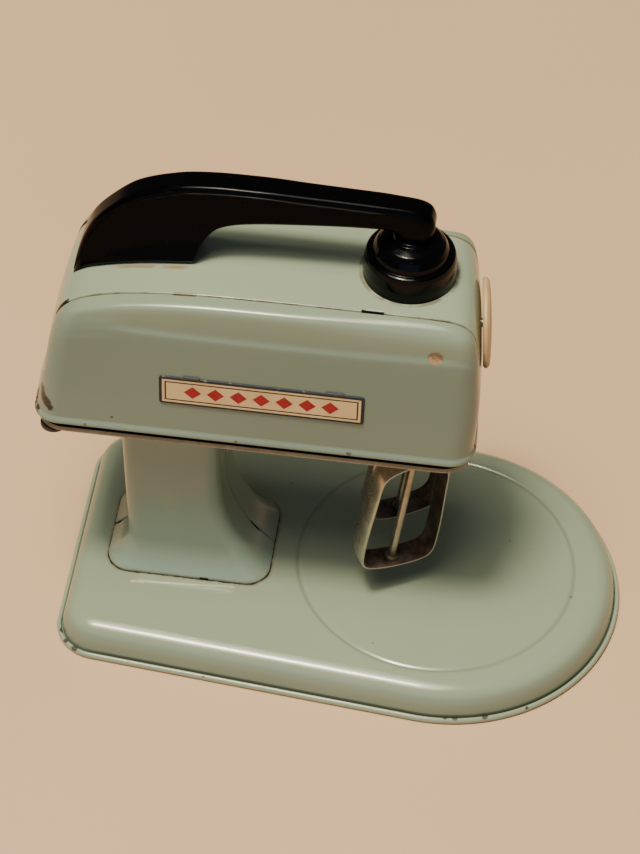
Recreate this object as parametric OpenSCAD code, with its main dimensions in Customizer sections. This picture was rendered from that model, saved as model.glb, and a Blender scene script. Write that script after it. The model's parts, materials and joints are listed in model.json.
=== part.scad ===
// Toy stand mixer in pressed tin: a round-fronted base, a hollow two-piece
// post, a loaf-shaped head with a lift-off hood, a moulded handle and a pair
// of loop beaters driven by a small cell-powered motor.
// Millimetres. +X points to the nose, -Y is the side with the label, +Z is up.
// The origin lies on the table under the middle of the object's box.

/* [Base] */
// Radius of the round front of the base
base_front_r = 63.6; // [61:0.1:64.5]
// Centre of the round front, ahead of the origin
base_front_x = 40; // [39:0.1:41]
// Rear edge of the base, behind the origin
base_rear = 95.5; // [93:0.5:97]
// Inward taper of each side of the base in degrees
base_taper = 5.2; // [4.8:0.1:5.6]
// Radius of the rear corners of the base
base_corner_r = 16; // [15:0.5:18]
// Height of the base's flat top
base_h = 12.8; // [12.4:0.1:13.4]

/* [Sheet metal] */
// Thickness of the pressed sheet
tin = 0.6; // [0.5:0.05:0.65]

/* [Post] */
// Rear face of the post
post_rear = 74; // [73:0.5:75]
// Backward lean of the rear face at the post's top
post_splay = 1.5; // [1:0.1:2]
// Front face of the post at its top
post_front = 40.8; // [39.5:0.1:41.5]
// Half width of the post at its top
post_half = 16.3; // [16:0.1:17]
// Rear end of the post's foot
foot_rear = 80.9; // [80:0.1:82]
// Front end of the post's foot
foot_front = 22.4; // [21:0.1:24]
// Half width of the foot
foot_half = 20.9; // [20:0.1:21.5]

/* [Head] */
// Height of the hood's lower edge above the table
hood_z = 94.4; // [94.2:0.1:94.6]
// Half width of the top strip between its seams
seam_y = 20.4; // [20:0.1:20.8]
// Rise of the top strip's middle over its seams
crown = 0.8; // [0.4:0.1:0.9]
// Turn of the nose away from square in degrees
nose_turn = 5; // [4:0.1:5.5]
// Underside of the head pan
pan_z = 90.6; // [90.4:0.1:90.8]

/* [Label] */
// Length of the label plate
label_l = 68; // [60:0.5:70]
// Height of the label plate
label_h = 12.3; // [10:0.1:13]

/* [Drive] */
// Lean of the beater shafts in degrees
lean = 6; // [5.5:0.1:6.5]
// Half distance between the beater shafts
beater_y = 12; // [12:0.01:12.04]
// Gear module
gear_m = 0.8; // [0.79:0.005:0.8]
// Radius of a beater shaft
shaft_r = 1.4; // [1.35:0.01:1.4]

/* [Beaters] */
// Half width of a beater loop
loop_half = 14.6; // [13:0.1:14.6]
// Width of the beater band
band_w = 9; // [8:0.1:9.2]
// Thickness of the beater band
band_t = 0.7; // [0.6:0.05:0.9]
// Turn of the near beater from the nose direction in degrees
near_turn = 28; // [27:0.5:30]
// Turn of the far beater from the nose direction in degrees
far_turn = 32; // [31:0.5:34]

/* [Knob] */
// Radius of the nose knob
knob_r = 15.1; // [14:0.1:15.4]
// Thickness of the nose knob
knob_t = 3.0; // [2.8:0.1:4]

/* [Hidden] */

mint = [0.70, 0.76, 0.66];
bare = [0.52, 0.47, 0.42];
steel = [0.70, 0.70, 0.68];
jet = [0.07, 0.07, 0.08];
cream = [0.90, 0.82, 0.66];
brass = [0.78, 0.63, 0.33];

// ---------- general shapes ----------

function lerp(a, b, t) = a + (b - a) * t;
function flat(l) = [for (r = l) for (p = r) p];
function unit(v) = v / norm(v);
function cum(pts) = [for (i = 0, s = 0; i < len(pts);
    s = s + (i + 1 < len(pts) ? norm(pts[i + 1] - pts[i]) : 0), i = i + 1) s];
// point at fraction t of a 2-D polyline's length
function along(pts, t) = let (c = cum(pts), d = t * c[len(c) - 1])
    [lookup(d, [for (i = [0:len(pts) - 1]) [c[i], pts[i][0]]]),
     lookup(d, [for (i = [0:len(pts) - 1]) [c[i], pts[i][1]]])];

// closed sheet between an outer and an inner grid of points
module skin(outer, inner) {
    R = len(outer);
    C = len(outer[0]);
    n = R * C;
    o = function(i, j) i * C + j;
    q = function(i, j) n + i * C + j;
    polyhedron(points = concat(flat(outer), flat(inner)), faces = concat(
        // diagonals lean towards the upper corner on either side, so no corner is cut flat
        [for (i = [0:R - 2]) for (j = [0:C - 2]) each (j < C / 2 - 1 ? [
            [o(i, j), o(i, j + 1), o(i + 1, j + 1)], [o(i, j), o(i + 1, j + 1), o(i + 1, j)],
            [q(i, j), q(i + 1, j + 1), q(i, j + 1)], [q(i, j), q(i + 1, j), q(i + 1, j + 1)]] : [
            [o(i, j), o(i, j + 1), o(i + 1, j)], [o(i, j + 1), o(i + 1, j + 1), o(i + 1, j)],
            [q(i, j), q(i + 1, j), q(i, j + 1)], [q(i, j + 1), q(i + 1, j), q(i + 1, j + 1)]])],
        [for (j = [0:C - 2]) each [
            [o(0, j + 1), o(0, j), q(0, j)], [o(0, j + 1), q(0, j), q(0, j + 1)],
            [o(R - 1, j), o(R - 1, j + 1), q(R - 1, j + 1)], [o(R - 1, j), q(R - 1, j + 1), q(R - 1, j)]]],
        [for (i = [0:R - 2]) each [
            [o(i, 0), o(i + 1, 0), q(i + 1, 0)], [o(i, 0), q(i + 1, 0), q(i, 0)],
            [o(i + 1, C - 1), o(i, C - 1), q(i, C - 1)], [o(i + 1, C - 1), q(i, C - 1), q(i + 1, C - 1)]]]));
}

// solid through a row of closed rings, each end closed to a centre point
module loft(rings, c0, c1) {
    R = len(rings);
    C = len(rings[0]);
    o = function(i, j) i * C + (j % C);
    a = R * C;
    b = R * C + 1;
    polyhedron(points = concat(flat(rings), [c0, c1]), faces = concat(
        [for (i = [0:R - 2]) for (j = [0:C - 1]) each [
            [o(i, j), o(i, j + 1), o(i + 1, j + 1)], [o(i, j), o(i + 1, j + 1), o(i + 1, j)]]],
        [for (j = [0:C - 1]) [a, o(0, j + 1), o(0, j)]],
        [for (j = [0:C - 1]) [b, o(R - 1, j), o(R - 1, j + 1)]]));
}

// round wire along a row of points
module tube(path, r) {
    n = len(path);
    rings = [for (i = [0:n - 1])
        let (t = unit(path[min(i + 1, n - 1)] - path[max(i - 1, 0)]),
             u = unit(cross(t, [0.1, 0.2, 1])), v = cross(u, t))
        [for (k = [0:7]) path[i] + r * (cos(45 * k) * u + sin(45 * k) * v)]];
    loft(rings, path[0], path[n - 1]);
}

// outline of a rectangle with round corners
function rr_pts(x0, x1, y0, y1, r, n = 8) = concat(
    [for (k = [0:n]) [x1 - r + r * cos(90 * k / n), y1 - r + r * sin(90 * k / n)]],
    [for (k = [0:n]) [x0 + r - r * sin(90 * k / n), y1 - r + r * cos(90 * k / n)]],
    [for (k = [0:n]) [x0 + r - r * cos(90 * k / n), y0 + r - r * sin(90 * k / n)]],
    [for (k = [0:n]) [x1 - r + r * sin(90 * k / n), y0 + r - r * cos(90 * k / n)]]);

module box(x0, x1, y0, y1, z0, z1) {
    translate([x0, y0, z0]) cube([x1 - x0, y1 - y0, z1 - z0]);
}

// ---------- base ----------

bt = base_taper;
side_n = [-sin(bt), cos(bt)];
corner_x = -base_rear + base_corner_r;
corner_y = (-sin(bt) * base_front_x + base_front_r - base_corner_r + sin(bt) * corner_x) / cos(bt);
side_a = [base_front_x, 0] + base_front_r * side_n;
side_b = [corner_x, corner_y] + base_corner_r * side_n;
// each entry is a point of the rim and its outward direction
rim = concat(
    [for (k = [0:32]) let (a = lerp(-90 - bt, 90 + bt, k / 32))
        [[base_front_x, 0] + base_front_r * [cos(a), sin(a)], [cos(a), sin(a)]]],
    [for (k = [1:4]) [lerp(side_a, side_b, k / 5), side_n]],
    [for (k = [0:6]) let (a = lerp(90 + bt, 180, k / 6))
        [[corner_x, corner_y] + base_corner_r * [cos(a), sin(a)], [cos(a), sin(a)]]],
    [[[-base_rear, 0], [-1, 0]]],
    [for (k = [0:6]) let (a = lerp(180, 270 - bt, k / 6))
        [[corner_x, -corner_y] + base_corner_r * [cos(a), sin(a)], [cos(a), sin(a)]]],
    [for (k = [1:4]) let (p = lerp(side_b, side_a, k / 5)) [[p[0], -p[1]], [side_n[0], -side_n[1]]]]);
function base_outline(d) = [for (e = rim) e[0] - d * e[1]];
function base_ring(d, z) = [for (e = rim) let (p = e[0] - d * e[1]) [p[0], p[1], z]];

module base_bottom_plate() color(mint) {
    difference() {
        linear_extrude(2.5) polygon(base_outline(0));
        translate([0, 0, 0.7]) linear_extrude(3) polygon(base_outline(1.5));
    }
}

base_rows = [[11.5, 0], [9.4, -0.1], [7.2, -0.7], [5.3, -1.8], [3.8, -3.5], [2.8, -5.8], [2.3, -8.2], [2.05, -10.4], [2.0, -12]];
tab_x = [[-69, -64.5], [-48, -43.5]];
module base_shell() color(mint) {
    difference() {
        loft(concat(
            [for (r = base_rows) base_ring(r[0], base_h + r[1])],
            [for (k = [len(base_rows) - 1:-1:0]) let (r = base_rows[k])
                base_ring(r[0] + tin, base_h + r[1] - (k == len(base_rows) - 1 ? 0 : tin))]),
            [10, 0, base_h], [10, 0, base_h - tin]);
        for (s = [-1, 1]) for (t = tab_x)
            box(t[0] - 0.3, t[1] + 0.3, s * (foot_half - tin / 2) - 0.4, s * (foot_half - tin / 2) + 0.4, base_h - 2, base_h + 1);
    }
}

// ---------- post ----------

// share of the foot's flare that is left at height z, at the front and elsewhere
function flare_front(z) = z > 72 ? 0 : pow((72 - z) / (72 - base_h - 0.8), 3.4);
function flare_side(z) = z > 27 ? 0 : pow((27 - z) / (27 - base_h - 0.8), 2.2);
// half outline at height z with the sheet set in by d, from rear to front on the -Y side
function post_half_pts(z, d) = let (
        zz = max(z, base_h + 0.8),
        x0 = -lerp(post_rear, foot_rear, flare_side(zz)) - post_splay * max(0, (zz - 30) / (pan_z - 30)) + d,
        x1 = -lerp(post_front, foot_front, flare_front(zz)) - d,
        h = lerp(post_half, foot_half, flare_side(zz)) - d,
        r = lerp(6, 8.5, flare_side(zz)) - d)
    concat([[x0, -0.05, z], [x0, -(h - r) / 2, z]],
        [for (k = [0:5]) [x0 + r - r * cos(18 * k), -(h - r) - r * sin(18 * k), z]],
        [[(x0 + x1) / 2, -h, z]],
        [for (k = [0:5]) [x1 - r + r * sin(18 * k), -(h - r) - r * cos(18 * k), z]],
        [[x1, -(h - r) / 2, z], [x1, -0.05, z]]);
post_levels = [pan_z, 80, 70, 60, 50, 42, 35, 29, 25, 21.5, 18.5, 16, 14.4, base_h + 0.8, base_h + 0.05];
module post_half_shell() {
    union() {
        skin([for (z = post_levels) post_half_pts(z, 0)], [for (z = post_levels) post_half_pts(z, tin)]);
        // tabs through the base's top and through the head pan
        for (t = tab_x) box(t[0], t[1], -foot_half + 0.1, -foot_half + tin - 0.1, base_h - 3.4, base_h + 0.6);
        for (t = [[-66, -61], [-56, -51]]) box(t[0], t[1], -post_half + 0.1, -post_half + tin - 0.1, 84, pan_z + 3.4);
    }
}
module post_near_half() color(mint) post_half_shell();
module post_far_half() color(mint) mirror([0, 1, 0]) post_half_shell();

// ---------- head pan ----------

module drive() translate([27.5, 0, 91]) rotate([0, lean, 0]) children();
latch_p = [-87, -19.5];
latch_e = [-95.8, -23.4];

// the head's nose is turned a little: forward of the middle at -Y, behind it at +Y
nose_out = 0.7;
function nose_share(x) = let (t = max(0, min(1, (x - 2) / 38))) t * t * (3 - 2 * t);
function skewed(x, y) = x + nose_share(x) * (nose_out - y * tan(nose_turn));
function pan_outline(x0, x1, h, r) = [for (p = rr_pts(x0, x1, -h, h, r, 12)) [skewed(p[0], max(-seam_y, min(seam_y, p[1]))), p[1]]];

module head_pan() color(bare) {
    difference() {
        union() {
            translate([0, 0, pan_z]) linear_extrude(6.9) polygon(pan_outline(-100.6, 42.1, 27.3, 9));
            // lip under the hood's hem
            translate([0, 0, pan_z]) linear_extrude(2) polygon(pan_outline(-101.7, 43.2, 28.5, 10));
        }
        translate([0, 0, pan_z + 0.8]) linear_extrude(9) polygon(pan_outline(-100, 41.5, 26.7, 8.4));
        for (s = [-1, 1]) {
            drive() translate([0, s * beater_y, -8]) cylinder(r = 4.15, h = 16, $fn = 48);
            for (t = [[-66, -61], [-56, -51]])
                box(t[0] - 0.3, t[1] + 0.3, s * (post_half - tin / 2) - 0.4, s * (post_half - tin / 2) + 0.4, pan_z - 1, pan_z + 2);
        }
        translate([latch_p[0], latch_p[1], pan_z - 1]) cylinder(r = 1.24, h = 4, $fn = 32);
    }
}

module latch_rivet() color(steel) translate([latch_p[0], latch_p[1], 0]) {
    translate([0, 0, pan_z - 3.2]) cylinder(r = 2.6, h = 1.2, $fn = 32);
    translate([0, 0, pan_z - 2.2]) cylinder(r = 1.2, h = 4.4, $fn = 32);
    translate([0, 0, pan_z + 0.85]) cylinder(r = 2.4, h = 0.9, $fn = 32);
}
module latch_tab() color(bare) {
    v = latch_e - latch_p;
    difference() {
        translate([0, 0, pan_z - 1.9]) union() {
            translate([latch_p[0], latch_p[1], 0]) cylinder(r = 4, h = 1, $fn = 48);
            translate([latch_e[0], latch_e[1], 0]) cylinder(r = 4.6, h = 1, $fn = 48);
            translate([latch_p[0], latch_p[1], 0]) rotate([0, 0, atan2(v[1], v[0])])
                translate([0, -3.8, 0]) cube([norm(v), 7.6, 1]);
        }
        translate([latch_p[0], latch_p[1], pan_z - 5]) cylinder(r = 1.26, h = 8, $fn = 32);
        translate([latch_e[0], latch_e[1], pan_z - 5]) cylinder(r = 1.7, h = 8, $fn = 32);
    }
}

// ---------- cell and contacts ----------

cell_z = pan_z + 18.1;
module battery_cradle() color(bare) {
    z0 = pan_z + 0.85;
    union() {
        box(-94.6, -22, -15, 15, z0, z0 + 0.6);
        box(-94.6, -94, -10, 10, z0, 124);
        box(-22.6, -22, -10, 10, z0, 124);
        for (s = [-1, 1]) box(-86, -32, s * 14.7 - 0.3, s * 14.7 + 0.3, z0, z0 + 7);
    }
}
module battery_cell() color([0.55, 0.20, 0.16]) {
    union() {
        translate([-88.6, 0, cell_z]) rotate([0, 90, 0]) cylinder(r = 16.4, h = 58.6, $fn = 64);
        translate([-31, 0, cell_z]) rotate([0, 90, 0]) cylinder(r = 4.5, h = 3.5, $fn = 32);
    }
}
module contact_rear() color(brass) translate([0, 4, 0]) rotate([90, 0, 0]) linear_extrude(8)
    polygon([[-93.95, 98], [-93.55, 98], [-93.55, 120.2], [-89.1, 109], [-88.72, 109.2], [-93.4, 121.6], [-93.95, 121.6]]);
module contact_front() color(brass) translate([0, 4, 0]) rotate([90, 0, 0]) linear_extrude(8)
    polygon([[-22.65, 98], [-22.65, 121.6], [-23.2, 121.6], [-27.3, 109.2], [-26.92, 109], [-23.05, 120.2], [-23.05, 98]]);
module wire_to_motor() color("firebrick")
    tube([[-22.3, 5.6, 125], [-20, 7, 129], [-17, 8, 134], [-14, 8.5, 140], [-10, 8.5, 145], [-5, 8, 148.5], [0, 7.2, 149.5], [4, 6.4, 149], [5.6, 6.1, 147.9]], 0.7);
module wire_to_switch() color("black")
    tube([[-94.2, 6, 125.2], [-92.5, 10, 126.5], [-89, 15, 126], [-82, 19, 123], [-70, 20.5, 121], [-50, 21, 120], [-30, 21, 121], [-12, 20, 122], [4, 18, 122], [18, 13, 121], [26, 7, 118.5], [30, 4, 116]], 0.7);

// ---------- gear frame ----------

idler_p = [-16.8, -beater_y];
motor_p = [-27.4, 0];
pillars = [[9.8, 0], [-34, -20], [-34, 20], [-14, 22.5]];
module plate2d() polygon([[-38.5, -24], [-2, -25], [5, -22], [12.4, -8], [12.4, 8], [5, 24], [-2, 25.4], [-38.5, 24]]);

module frame_standoffs() color(steel) difference() {
    drive() for (p = pillars) translate([p[0], p[1], -4]) difference() {
        cylinder(r = 2.2, h = 10.95, $fn = 32);
        translate([0, 0, -1]) cylinder(r = 1.05, h = 20, $fn = 32);
    }
    box(-60, 60, -40, 40, 70, pan_z + 0.85);
}
module gear_plate_lower() color(steel) drive() translate([0, 0, 7]) difference() {
    linear_extrude(1) plate2d();
    for (p = pillars) translate([p[0], p[1], -1]) cylinder(r = 1.05, h = 4, $fn = 32);
    for (s = [-1, 1]) translate([0, s * beater_y, -1]) cylinder(r = 4.05, h = 4, $fn = 48);
    translate([idler_p[0], idler_p[1], -1]) cylinder(r = 1.52, h = 4, $fn = 32);
}
module frame_pillars() color(steel) drive() for (p = pillars) translate([p[0], p[1], 8.03]) difference() {
    cylinder(r = 1.9, h = 11.94, $fn = 32);
    translate([0, 0, -1]) cylinder(r = 1.05, h = 20, $fn = 32);
}
module gear_plate_upper() color(steel) drive() translate([0, 0, 20]) difference() {
    linear_extrude(1) plate2d();
    for (p = pillars) translate([p[0], p[1], -1]) cylinder(r = 1.05, h = 4, $fn = 32);
    for (s = [-1, 1]) translate([0, s * beater_y, -1]) cylinder(r = 2.67, h = 4, $fn = 48);
    translate([idler_p[0], idler_p[1], -1]) cylinder(r = 1.52, h = 4, $fn = 32);
    translate([motor_p[0], motor_p[1], -1]) cylinder(r = 2, h = 4, $fn = 32);
}
module frame_screws() color(steel) drive() for (p = pillars) translate([p[0], p[1], 0]) union() {
    translate([0, 0, 4]) cylinder(r = 1, h = 17.5, $fn = 32);
    difference() {
        translate([0, 0, 21.05]) cylinder(r = 2, h = 1.3, $fn = 32);
        translate([-3, -0.3, 21.9]) cube([6, 0.6, 2]);
    }
}
module spindle_bushings() color(brass) drive() for (s = [-1, 1]) translate([0, s * beater_y, 0]) difference() {
    union() {
        translate([0, 0, -2.5]) cylinder(r = 4, h = 11.1, $fn = 48);
        translate([0, 0, 5.9]) cylinder(r = 5.4, h = 1.05, $fn = 48);
    }
    translate([0, 0, -4]) cylinder(r = 2.66, h = 20, $fn = 48);
}
module idler_pin() color(steel) drive() translate([idler_p[0], idler_p[1], 6.6]) cylinder(r = 1.5, h = 14.7, $fn = 32);

// ---------- motor ----------

module at_motor() drive() translate([motor_p[0], motor_p[1], 0]) children();
module motor_can() color(steel) at_motor() difference() {
    translate([0, 0, 21.05]) cylinder(r = 12, h = 25.95, $fn = 64);
    translate([0, 0, 22]) cylinder(r = 11.2, h = 30, $fn = 64);
    translate([0, 0, 15]) cylinder(r = 1.06, h = 20, $fn = 32);
}
module motor_magnets() color([0.25, 0.25, 0.27]) at_motor() difference() {
    translate([0, 0, 25]) cylinder(r = 11.15, h = 18, $fn = 64);
    translate([0, 0, 20]) cylinder(r = 9, h = 30, $fn = 64);
    box(-14, 14, -3.5, 3.5, 20, 50);
}
module motor_end_cap() color([0.55, 0.33, 0.20]) at_motor() difference() {
    translate([0, 0, 47.03]) cylinder(r = 12, h = 3, $fn = 64);
    translate([0, 0, 45]) cylinder(r = 1.06, h = 4.3, $fn = 32);
}
module motor_terminals() color(brass) at_motor() for (s = [-1, 1])
    box(-1.5, 1.5, s * 6 - 0.25, s * 6 + 0.25, 50.08, 53.5);
module motor_shaft() color(steel) at_motor() translate([0, 0, 12.6]) cylinder(r = 1, h = 36.4, $fn = 32);
module motor_armature() color([0.62, 0.38, 0.22]) at_motor() difference() {
    translate([0, 0, 26]) cylinder(r = 8.4, h = 16, $fn = 64);
    translate([0, 0, 20]) cylinder(r = 1.02, h = 30, $fn = 32);
    for (a = [0, 120, 240]) rotate([0, 0, a]) box(4, 10, -0.9, 0.9, 20, 50);
}

// ---------- gears ----------

function inv(a) = tan(a) * 180 / PI - a;
// half tooth angle of an involute tooth at radius r
function half_tooth(z, m, r) = let (rp = z * m / 2, rb = rp * cos(25))
    90 / z - 0.09 / rp * 180 / PI + inv(25) - (r > rb ? inv(acos(rb / r)) : 0);
module gear2d(z, m, phase) {
    rp = z * m / 2;
    rf = rp - 1.05 * m;
    ra = rp + 0.8 * m;
    rr = [rf, lerp(rf, ra, 0.4), lerp(rf, ra, 0.72), ra];
    polygon([for (k = [0:z - 1]) let (c = phase + 360 * k / z) each concat(
        [for (i = [0:3]) let (a = c - half_tooth(z, m, rr[i])) rr[i] * [cos(a), sin(a)]],
        [for (i = [3:-1:0]) let (a = c + half_tooth(z, m, rr[i])) rr[i] * [cos(a), sin(a)]])]);
}
module gear(z, phase, h, bore) difference() {
    linear_extrude(h) gear2d(z, gear_m, phase);
    translate([0, 0, -1]) cylinder(r = bore, h = h + 2, $fn = 48);
}
mesh_a = atan2(motor_p[1] - idler_p[1], motor_p[0] - idler_p[0]);
module spindle_gear_near() color(cream) drive() translate([0, -beater_y, 9]) gear(30, 90, 4, 2.62);
module spindle_gear_far() color(cream) drive() translate([0, beater_y, 9]) gear(30, 276, 4, 2.62);
module idler_pinion() color(cream) drive() translate([idler_p[0], idler_p[1], 9]) gear(12, 0, 4.5, 1.56);
module idler_gear() color(cream) drive() translate([idler_p[0], idler_p[1], 13.52]) gear(30, mesh_a, 3.4, 1.56);
module motor_pinion() color(brass) at_motor() translate([0, 0, 13.7]) gear(10, mesh_a + 180 + 18, 3.8, 1.02);

module spindle(s) drive() translate([0, s * beater_y, 0]) difference() {
    translate([0, 0, -6]) cylinder(r = 2.6, h = 26.9, $fn = 48);
    translate([0, 0, -8]) cylinder(r = shaft_r + 0.05, h = 14.5, $fn = 48);
}
module spindle_near() color(steel) spindle(-1);
module spindle_far() color(steel) spindle(1);

// ---------- beaters ----------

// right half of a loop's outer outline, from the bottom middle to the top middle
loop_pts = [[0, -65.4], [4, -65.2], [8, -64.5], [10.9, -63.1], [12.5, -60.7], [13.1, -57], [13.2, -50],
    [12.8, -38], [12.1, -24], [11.6, -18.5], [10.5, -15.8], [8.6, -14], [5, -12.2], [0, -11.2]];
function loop_out(t) = let (k = loop_half / 13.2, n = len(loop_pts)) [for (i = [0:n - 1])
    let (d = unit(loop_pts[min(i + 1, n - 1)] - loop_pts[max(i - 1, 0)]),
         p = loop_pts[i] - t * [d[1], -d[0]])
    [(i == 0 || i == n - 1) ? 0 : k * p[0], p[1]]];
function both_sides(h) = concat(h, [for (i = [len(h) - 2:-1:1]) [-h[i][0], h[i][1]]]);
module beater_band(s, turn) drive() translate([0, s * beater_y, 0]) rotate([0, 0, turn]) difference() {
    translate([0, band_w / 2, 0]) rotate([90, 0, 0]) linear_extrude(band_w) difference() {
        polygon(both_sides(loop_out(0)));
        polygon(both_sides(loop_out(band_t)));
    }
    translate([0, 0, -70]) cylinder(r = shaft_r + 0.02, h = 80, $fn = 32);
}
module beater_shaft(s) drive() translate([0, s * beater_y, -66]) union() {
    cylinder(r = shaft_r, h = 70, $fn = 32);
    translate([0, 0, 1.45]) cylinder(r = 2.4, h = 0.9, $fn = 32);
}
module beater_shaft_near() color(steel) beater_shaft(-1);
module beater_shaft_far() color(steel) beater_shaft(1);
module beater_band_near() color(steel) beater_band(-1, near_turn);
module beater_band_far() color(steel) beater_band(1, far_turn);

// ---------- hood ----------

// side outline of the head along a seam, from the rear hem over the top to the nose hem
prof = [[-102.8, hood_z], [-102.6, 95.9], [-101.9, 97.6], [-98.1, 117], [-94.3, 135.5], [-92.3, 140.2], [-89.6, 143.3],
    [-86, 145.7], [-82, 147.4], [-77, 148.9], [-70, 150.4], [-60, 151.7], [-46, 152.7], [-30, 153.1], [-10, 153.3],
    [12, 153.3], [29, 153.1], [34.5, 152.3], [37.8, 150.6], [39.8, 148.2],
    [41.1, 144.5], [42.4, 137], [43.7, 120], [43.9, 109], [43.5, 97.6], [44.3, 95.9], [44.4, hood_z]];
k_rear = 6;
k_nose = 19;
function prof_n(k) = let (n = len(prof),
        a = k > 0 ? unit(prof[k] - prof[k - 1]) : unit(prof[1] - prof[0]),
        b = k < n - 1 ? unit(prof[k + 1] - prof[k]) : unit(prof[n - 1] - prof[n - 2]),
        d = unit(a + b))
    (k == 0) ? [-1, 0] : (k == n - 1) ? [1, 0] : [-d[1], d[0]];
function prof_off(d) = [for (k = [0:len(prof) - 1]) prof[k] + d * prof_n(k)];
// top of the strip's middle at x
function top_z(x) = lookup(x, [for (k = [k_rear:k_nose]) prof[k]]) + crown;

knob_tilt = 4;
module at_knob() translate([lerp(42.4, 43.7, 2.5 / 17) + nose_out + crown, 0, 134.5]) rotate([0, 0, nose_turn]) rotate([0, 90 - knob_tilt, 0]) children();
screw_x = [-66, 19.2];

module hood_top_strip() color(mint) {
    ys = [1, 0.66, 0.33, 0, -0.33, -0.66, -1];
    g = function(d) [for (y = ys) let (q = prof_off(d + crown * (1 - y * y)))
        [for (p = q) [skewed(p[0], y * seam_y), y * (seam_y - 0.05), p[1]]]];
    difference() {
        skin(g(0), g(-tin));
        at_knob() translate([0, 0, -4]) cylinder(r = 1.56, h = 8, $fn = 32);
        for (x = screw_x) translate([x, 0, 140]) cylinder(r = 1.8, h = 20, $fn = 32);
    }
}

// depth of a side panel outside its seam at fraction v of its height
panel_v = [1, 0.994, 0.986, 0.977, 0.962, 0.936, 0.86, 0.79, 0.765, 0.74, 0.5, 0.25, 0.055, 0.028, 0];
panel_d = [0, 1.5, 3.0, 4.3, 5.2, 5.75, 6.1, 6.4, 6.75, 7.15, 7.45, 7.75, 8.05, 8.85, 9.0];
panel_a = [0, 30, 50, 70, 90];
panel_u = concat([for (a = panel_a) 0.056 * (1 - cos(a))], [0.2, 0.35, 0.5, 0.65, 0.8], [for (k = [4:-1:0]) 1 - 0.056 * (1 - cos(panel_a[k]))]);
panel_f = concat([for (a = panel_a) sin(a)], [1, 1, 1, 1, 1], [for (k = [4:-1:0]) sin(panel_a[k])]);
function panel_grid(d, s) = let (q = prof_off(-d), n = len(q),
        L = [for (k = [0:k_rear]) q[k]],
        T = [for (k = [k_rear:k_nose]) q[k]],
        N = [for (k = [n - 1:-1:k_nose]) q[k]])
    [for (i = [0:len(panel_v) - 1]) let (v = panel_v[i], lv = along(L, v), nv = along(N, v))
        [for (j = [0:len(panel_u) - 1]) let (u = panel_u[j],
                b = lerp(L[0], N[0], u), t = along(T, u),
                c = (1 - u) * (1 - v) * L[0] + u * (1 - v) * N[0] + (1 - u) * v * T[0] + u * v * T[len(T) - 1],
                p = (1 - v) * b + v * t + (1 - u) * lv + u * nv - c)
            [skewed(p[0], s * seam_y), -seam_y - max(0, panel_d[i] - d) * panel_f[j], p[1]]]];
// the same grid on the other side, with its columns in reverse so that it faces out
function other_side(g) = [for (r = g) [for (j = [len(r) - 1:-1:0]) [r[j][0], -r[j][1], r[j][2]]]];
module side_panel_near() color(mint) skin(panel_grid(0, -1), panel_grid(tin, -1));
module side_panel_far() color(mint) skin(other_side(panel_grid(0, 1)), other_side(panel_grid(tin, 1)));

module label_plate() color(cream) translate([-24.8, -28.4, 115.8]) rotate([-1, 0, 0])
    translate([0, 0.25, 0]) rotate([90, 0, 0]) linear_extrude(0.5)
        polygon(rr_pts(-label_l / 2, label_l / 2, -label_h / 2, label_h / 2, 1, 4));

// stations of the handle: lower point, upper point, lower and upper half width
grip = concat(
    [for (s = [[-90.2, -90.8, 1.6, 7, 4.6], [-87, -89.3, 7, 7.8, 4.8], [-81, -84.9, 16.3, 8.3, 4.8], [-74, -77.6, 23.4, 8.4, 4.8],
            [-66, -69.4, 28.6, 8.3, 4.8], [-58, -60.6, 31.2, 8.1, 4.8], [-51, -52.5, 32.6, 7.8, 4.8]])
        [[s[0], top_z(s[0]) + 0.12], [s[1], top_z(s[0]) - 2 + s[2]], s[3], s[4]]],
    [[[-48.4, 159.6], [-47, 184.4], 7.4, 4.8], [[-46.6, 163.8], [-42, 184.7], 6.9, 4.8], [[-42.6, 168], [-36, 184.8], 6.4, 4.8],
     [[-35.5, 170.3], [-29, 184.8], 6.1, 4.8], [[-16, 172.5], [-14, 184.3], 5.8, 4.7], [[2, 173.9], [3, 183.7], 5.6, 4.6],
     [[9.5, 174.4], [13, 183.1], 5.5, 4.6], [[13, 173.6], [20.2, 182.1], 5.5, 4.7], [[14.4, 172.4], [24.8, 179.6], 5.4, 4.9],
     [[14.9, 171.4], [26.6, 175.4], 5.3, 5.1], [[15, 170.5], [25.2, 170.5], 5.1, 5.1]]);
// section round the handle: flattened oval between the lower and upper points
grip_sec = [for (k = [0:15]) let (a = 22.5 * k, c = -cos(a), s = sin(a))
    [sign(c) * pow(abs(c), 0.62), sign(s) * pow(abs(s), 0.62)]];
module handle() color(jet) difference() {
    loft([for (g = grip) [for (e = grip_sec) let (t = (e[1] + 1) / 2, p = lerp(g[0], g[1], t))
            [p[0], e[0] * lerp(g[2], g[3], t), p[1]]]],
        let (g = grip[0], p = (g[0] + g[1]) / 2) [p[0], 0, p[1]],
        let (g = grip[len(grip) - 1], p = (g[0] + g[1]) / 2) [p[0], 0, p[1]]);
    translate([screw_x[0], 0, 140]) cylinder(r = 1.55, h = 24, $fn = 32);
    translate([screw_x[1], 0, 160]) cylinder(r = 1.55, h = 17, $fn = 32);
}
module handle_pedestal() color(jet) translate([19.2, 0, 0]) rotate_extrude($fn = 96)
    polygon([[1.6, top_z(19.2) + 0.05], [15.3, top_z(19.2) + 0.05], [15.25, 157.5], [15, 161.3], [14.5, 162.9], [13.7, 163.4],
        [12.95, 163.1], [12.6, 163.4], [12.2, 165], [11.2, 166.9], [9.6, 168.4], [7.6, 169.2], [6.1, 169.5], [5.7, 170.4], [1.6, 170.4]]);
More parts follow.
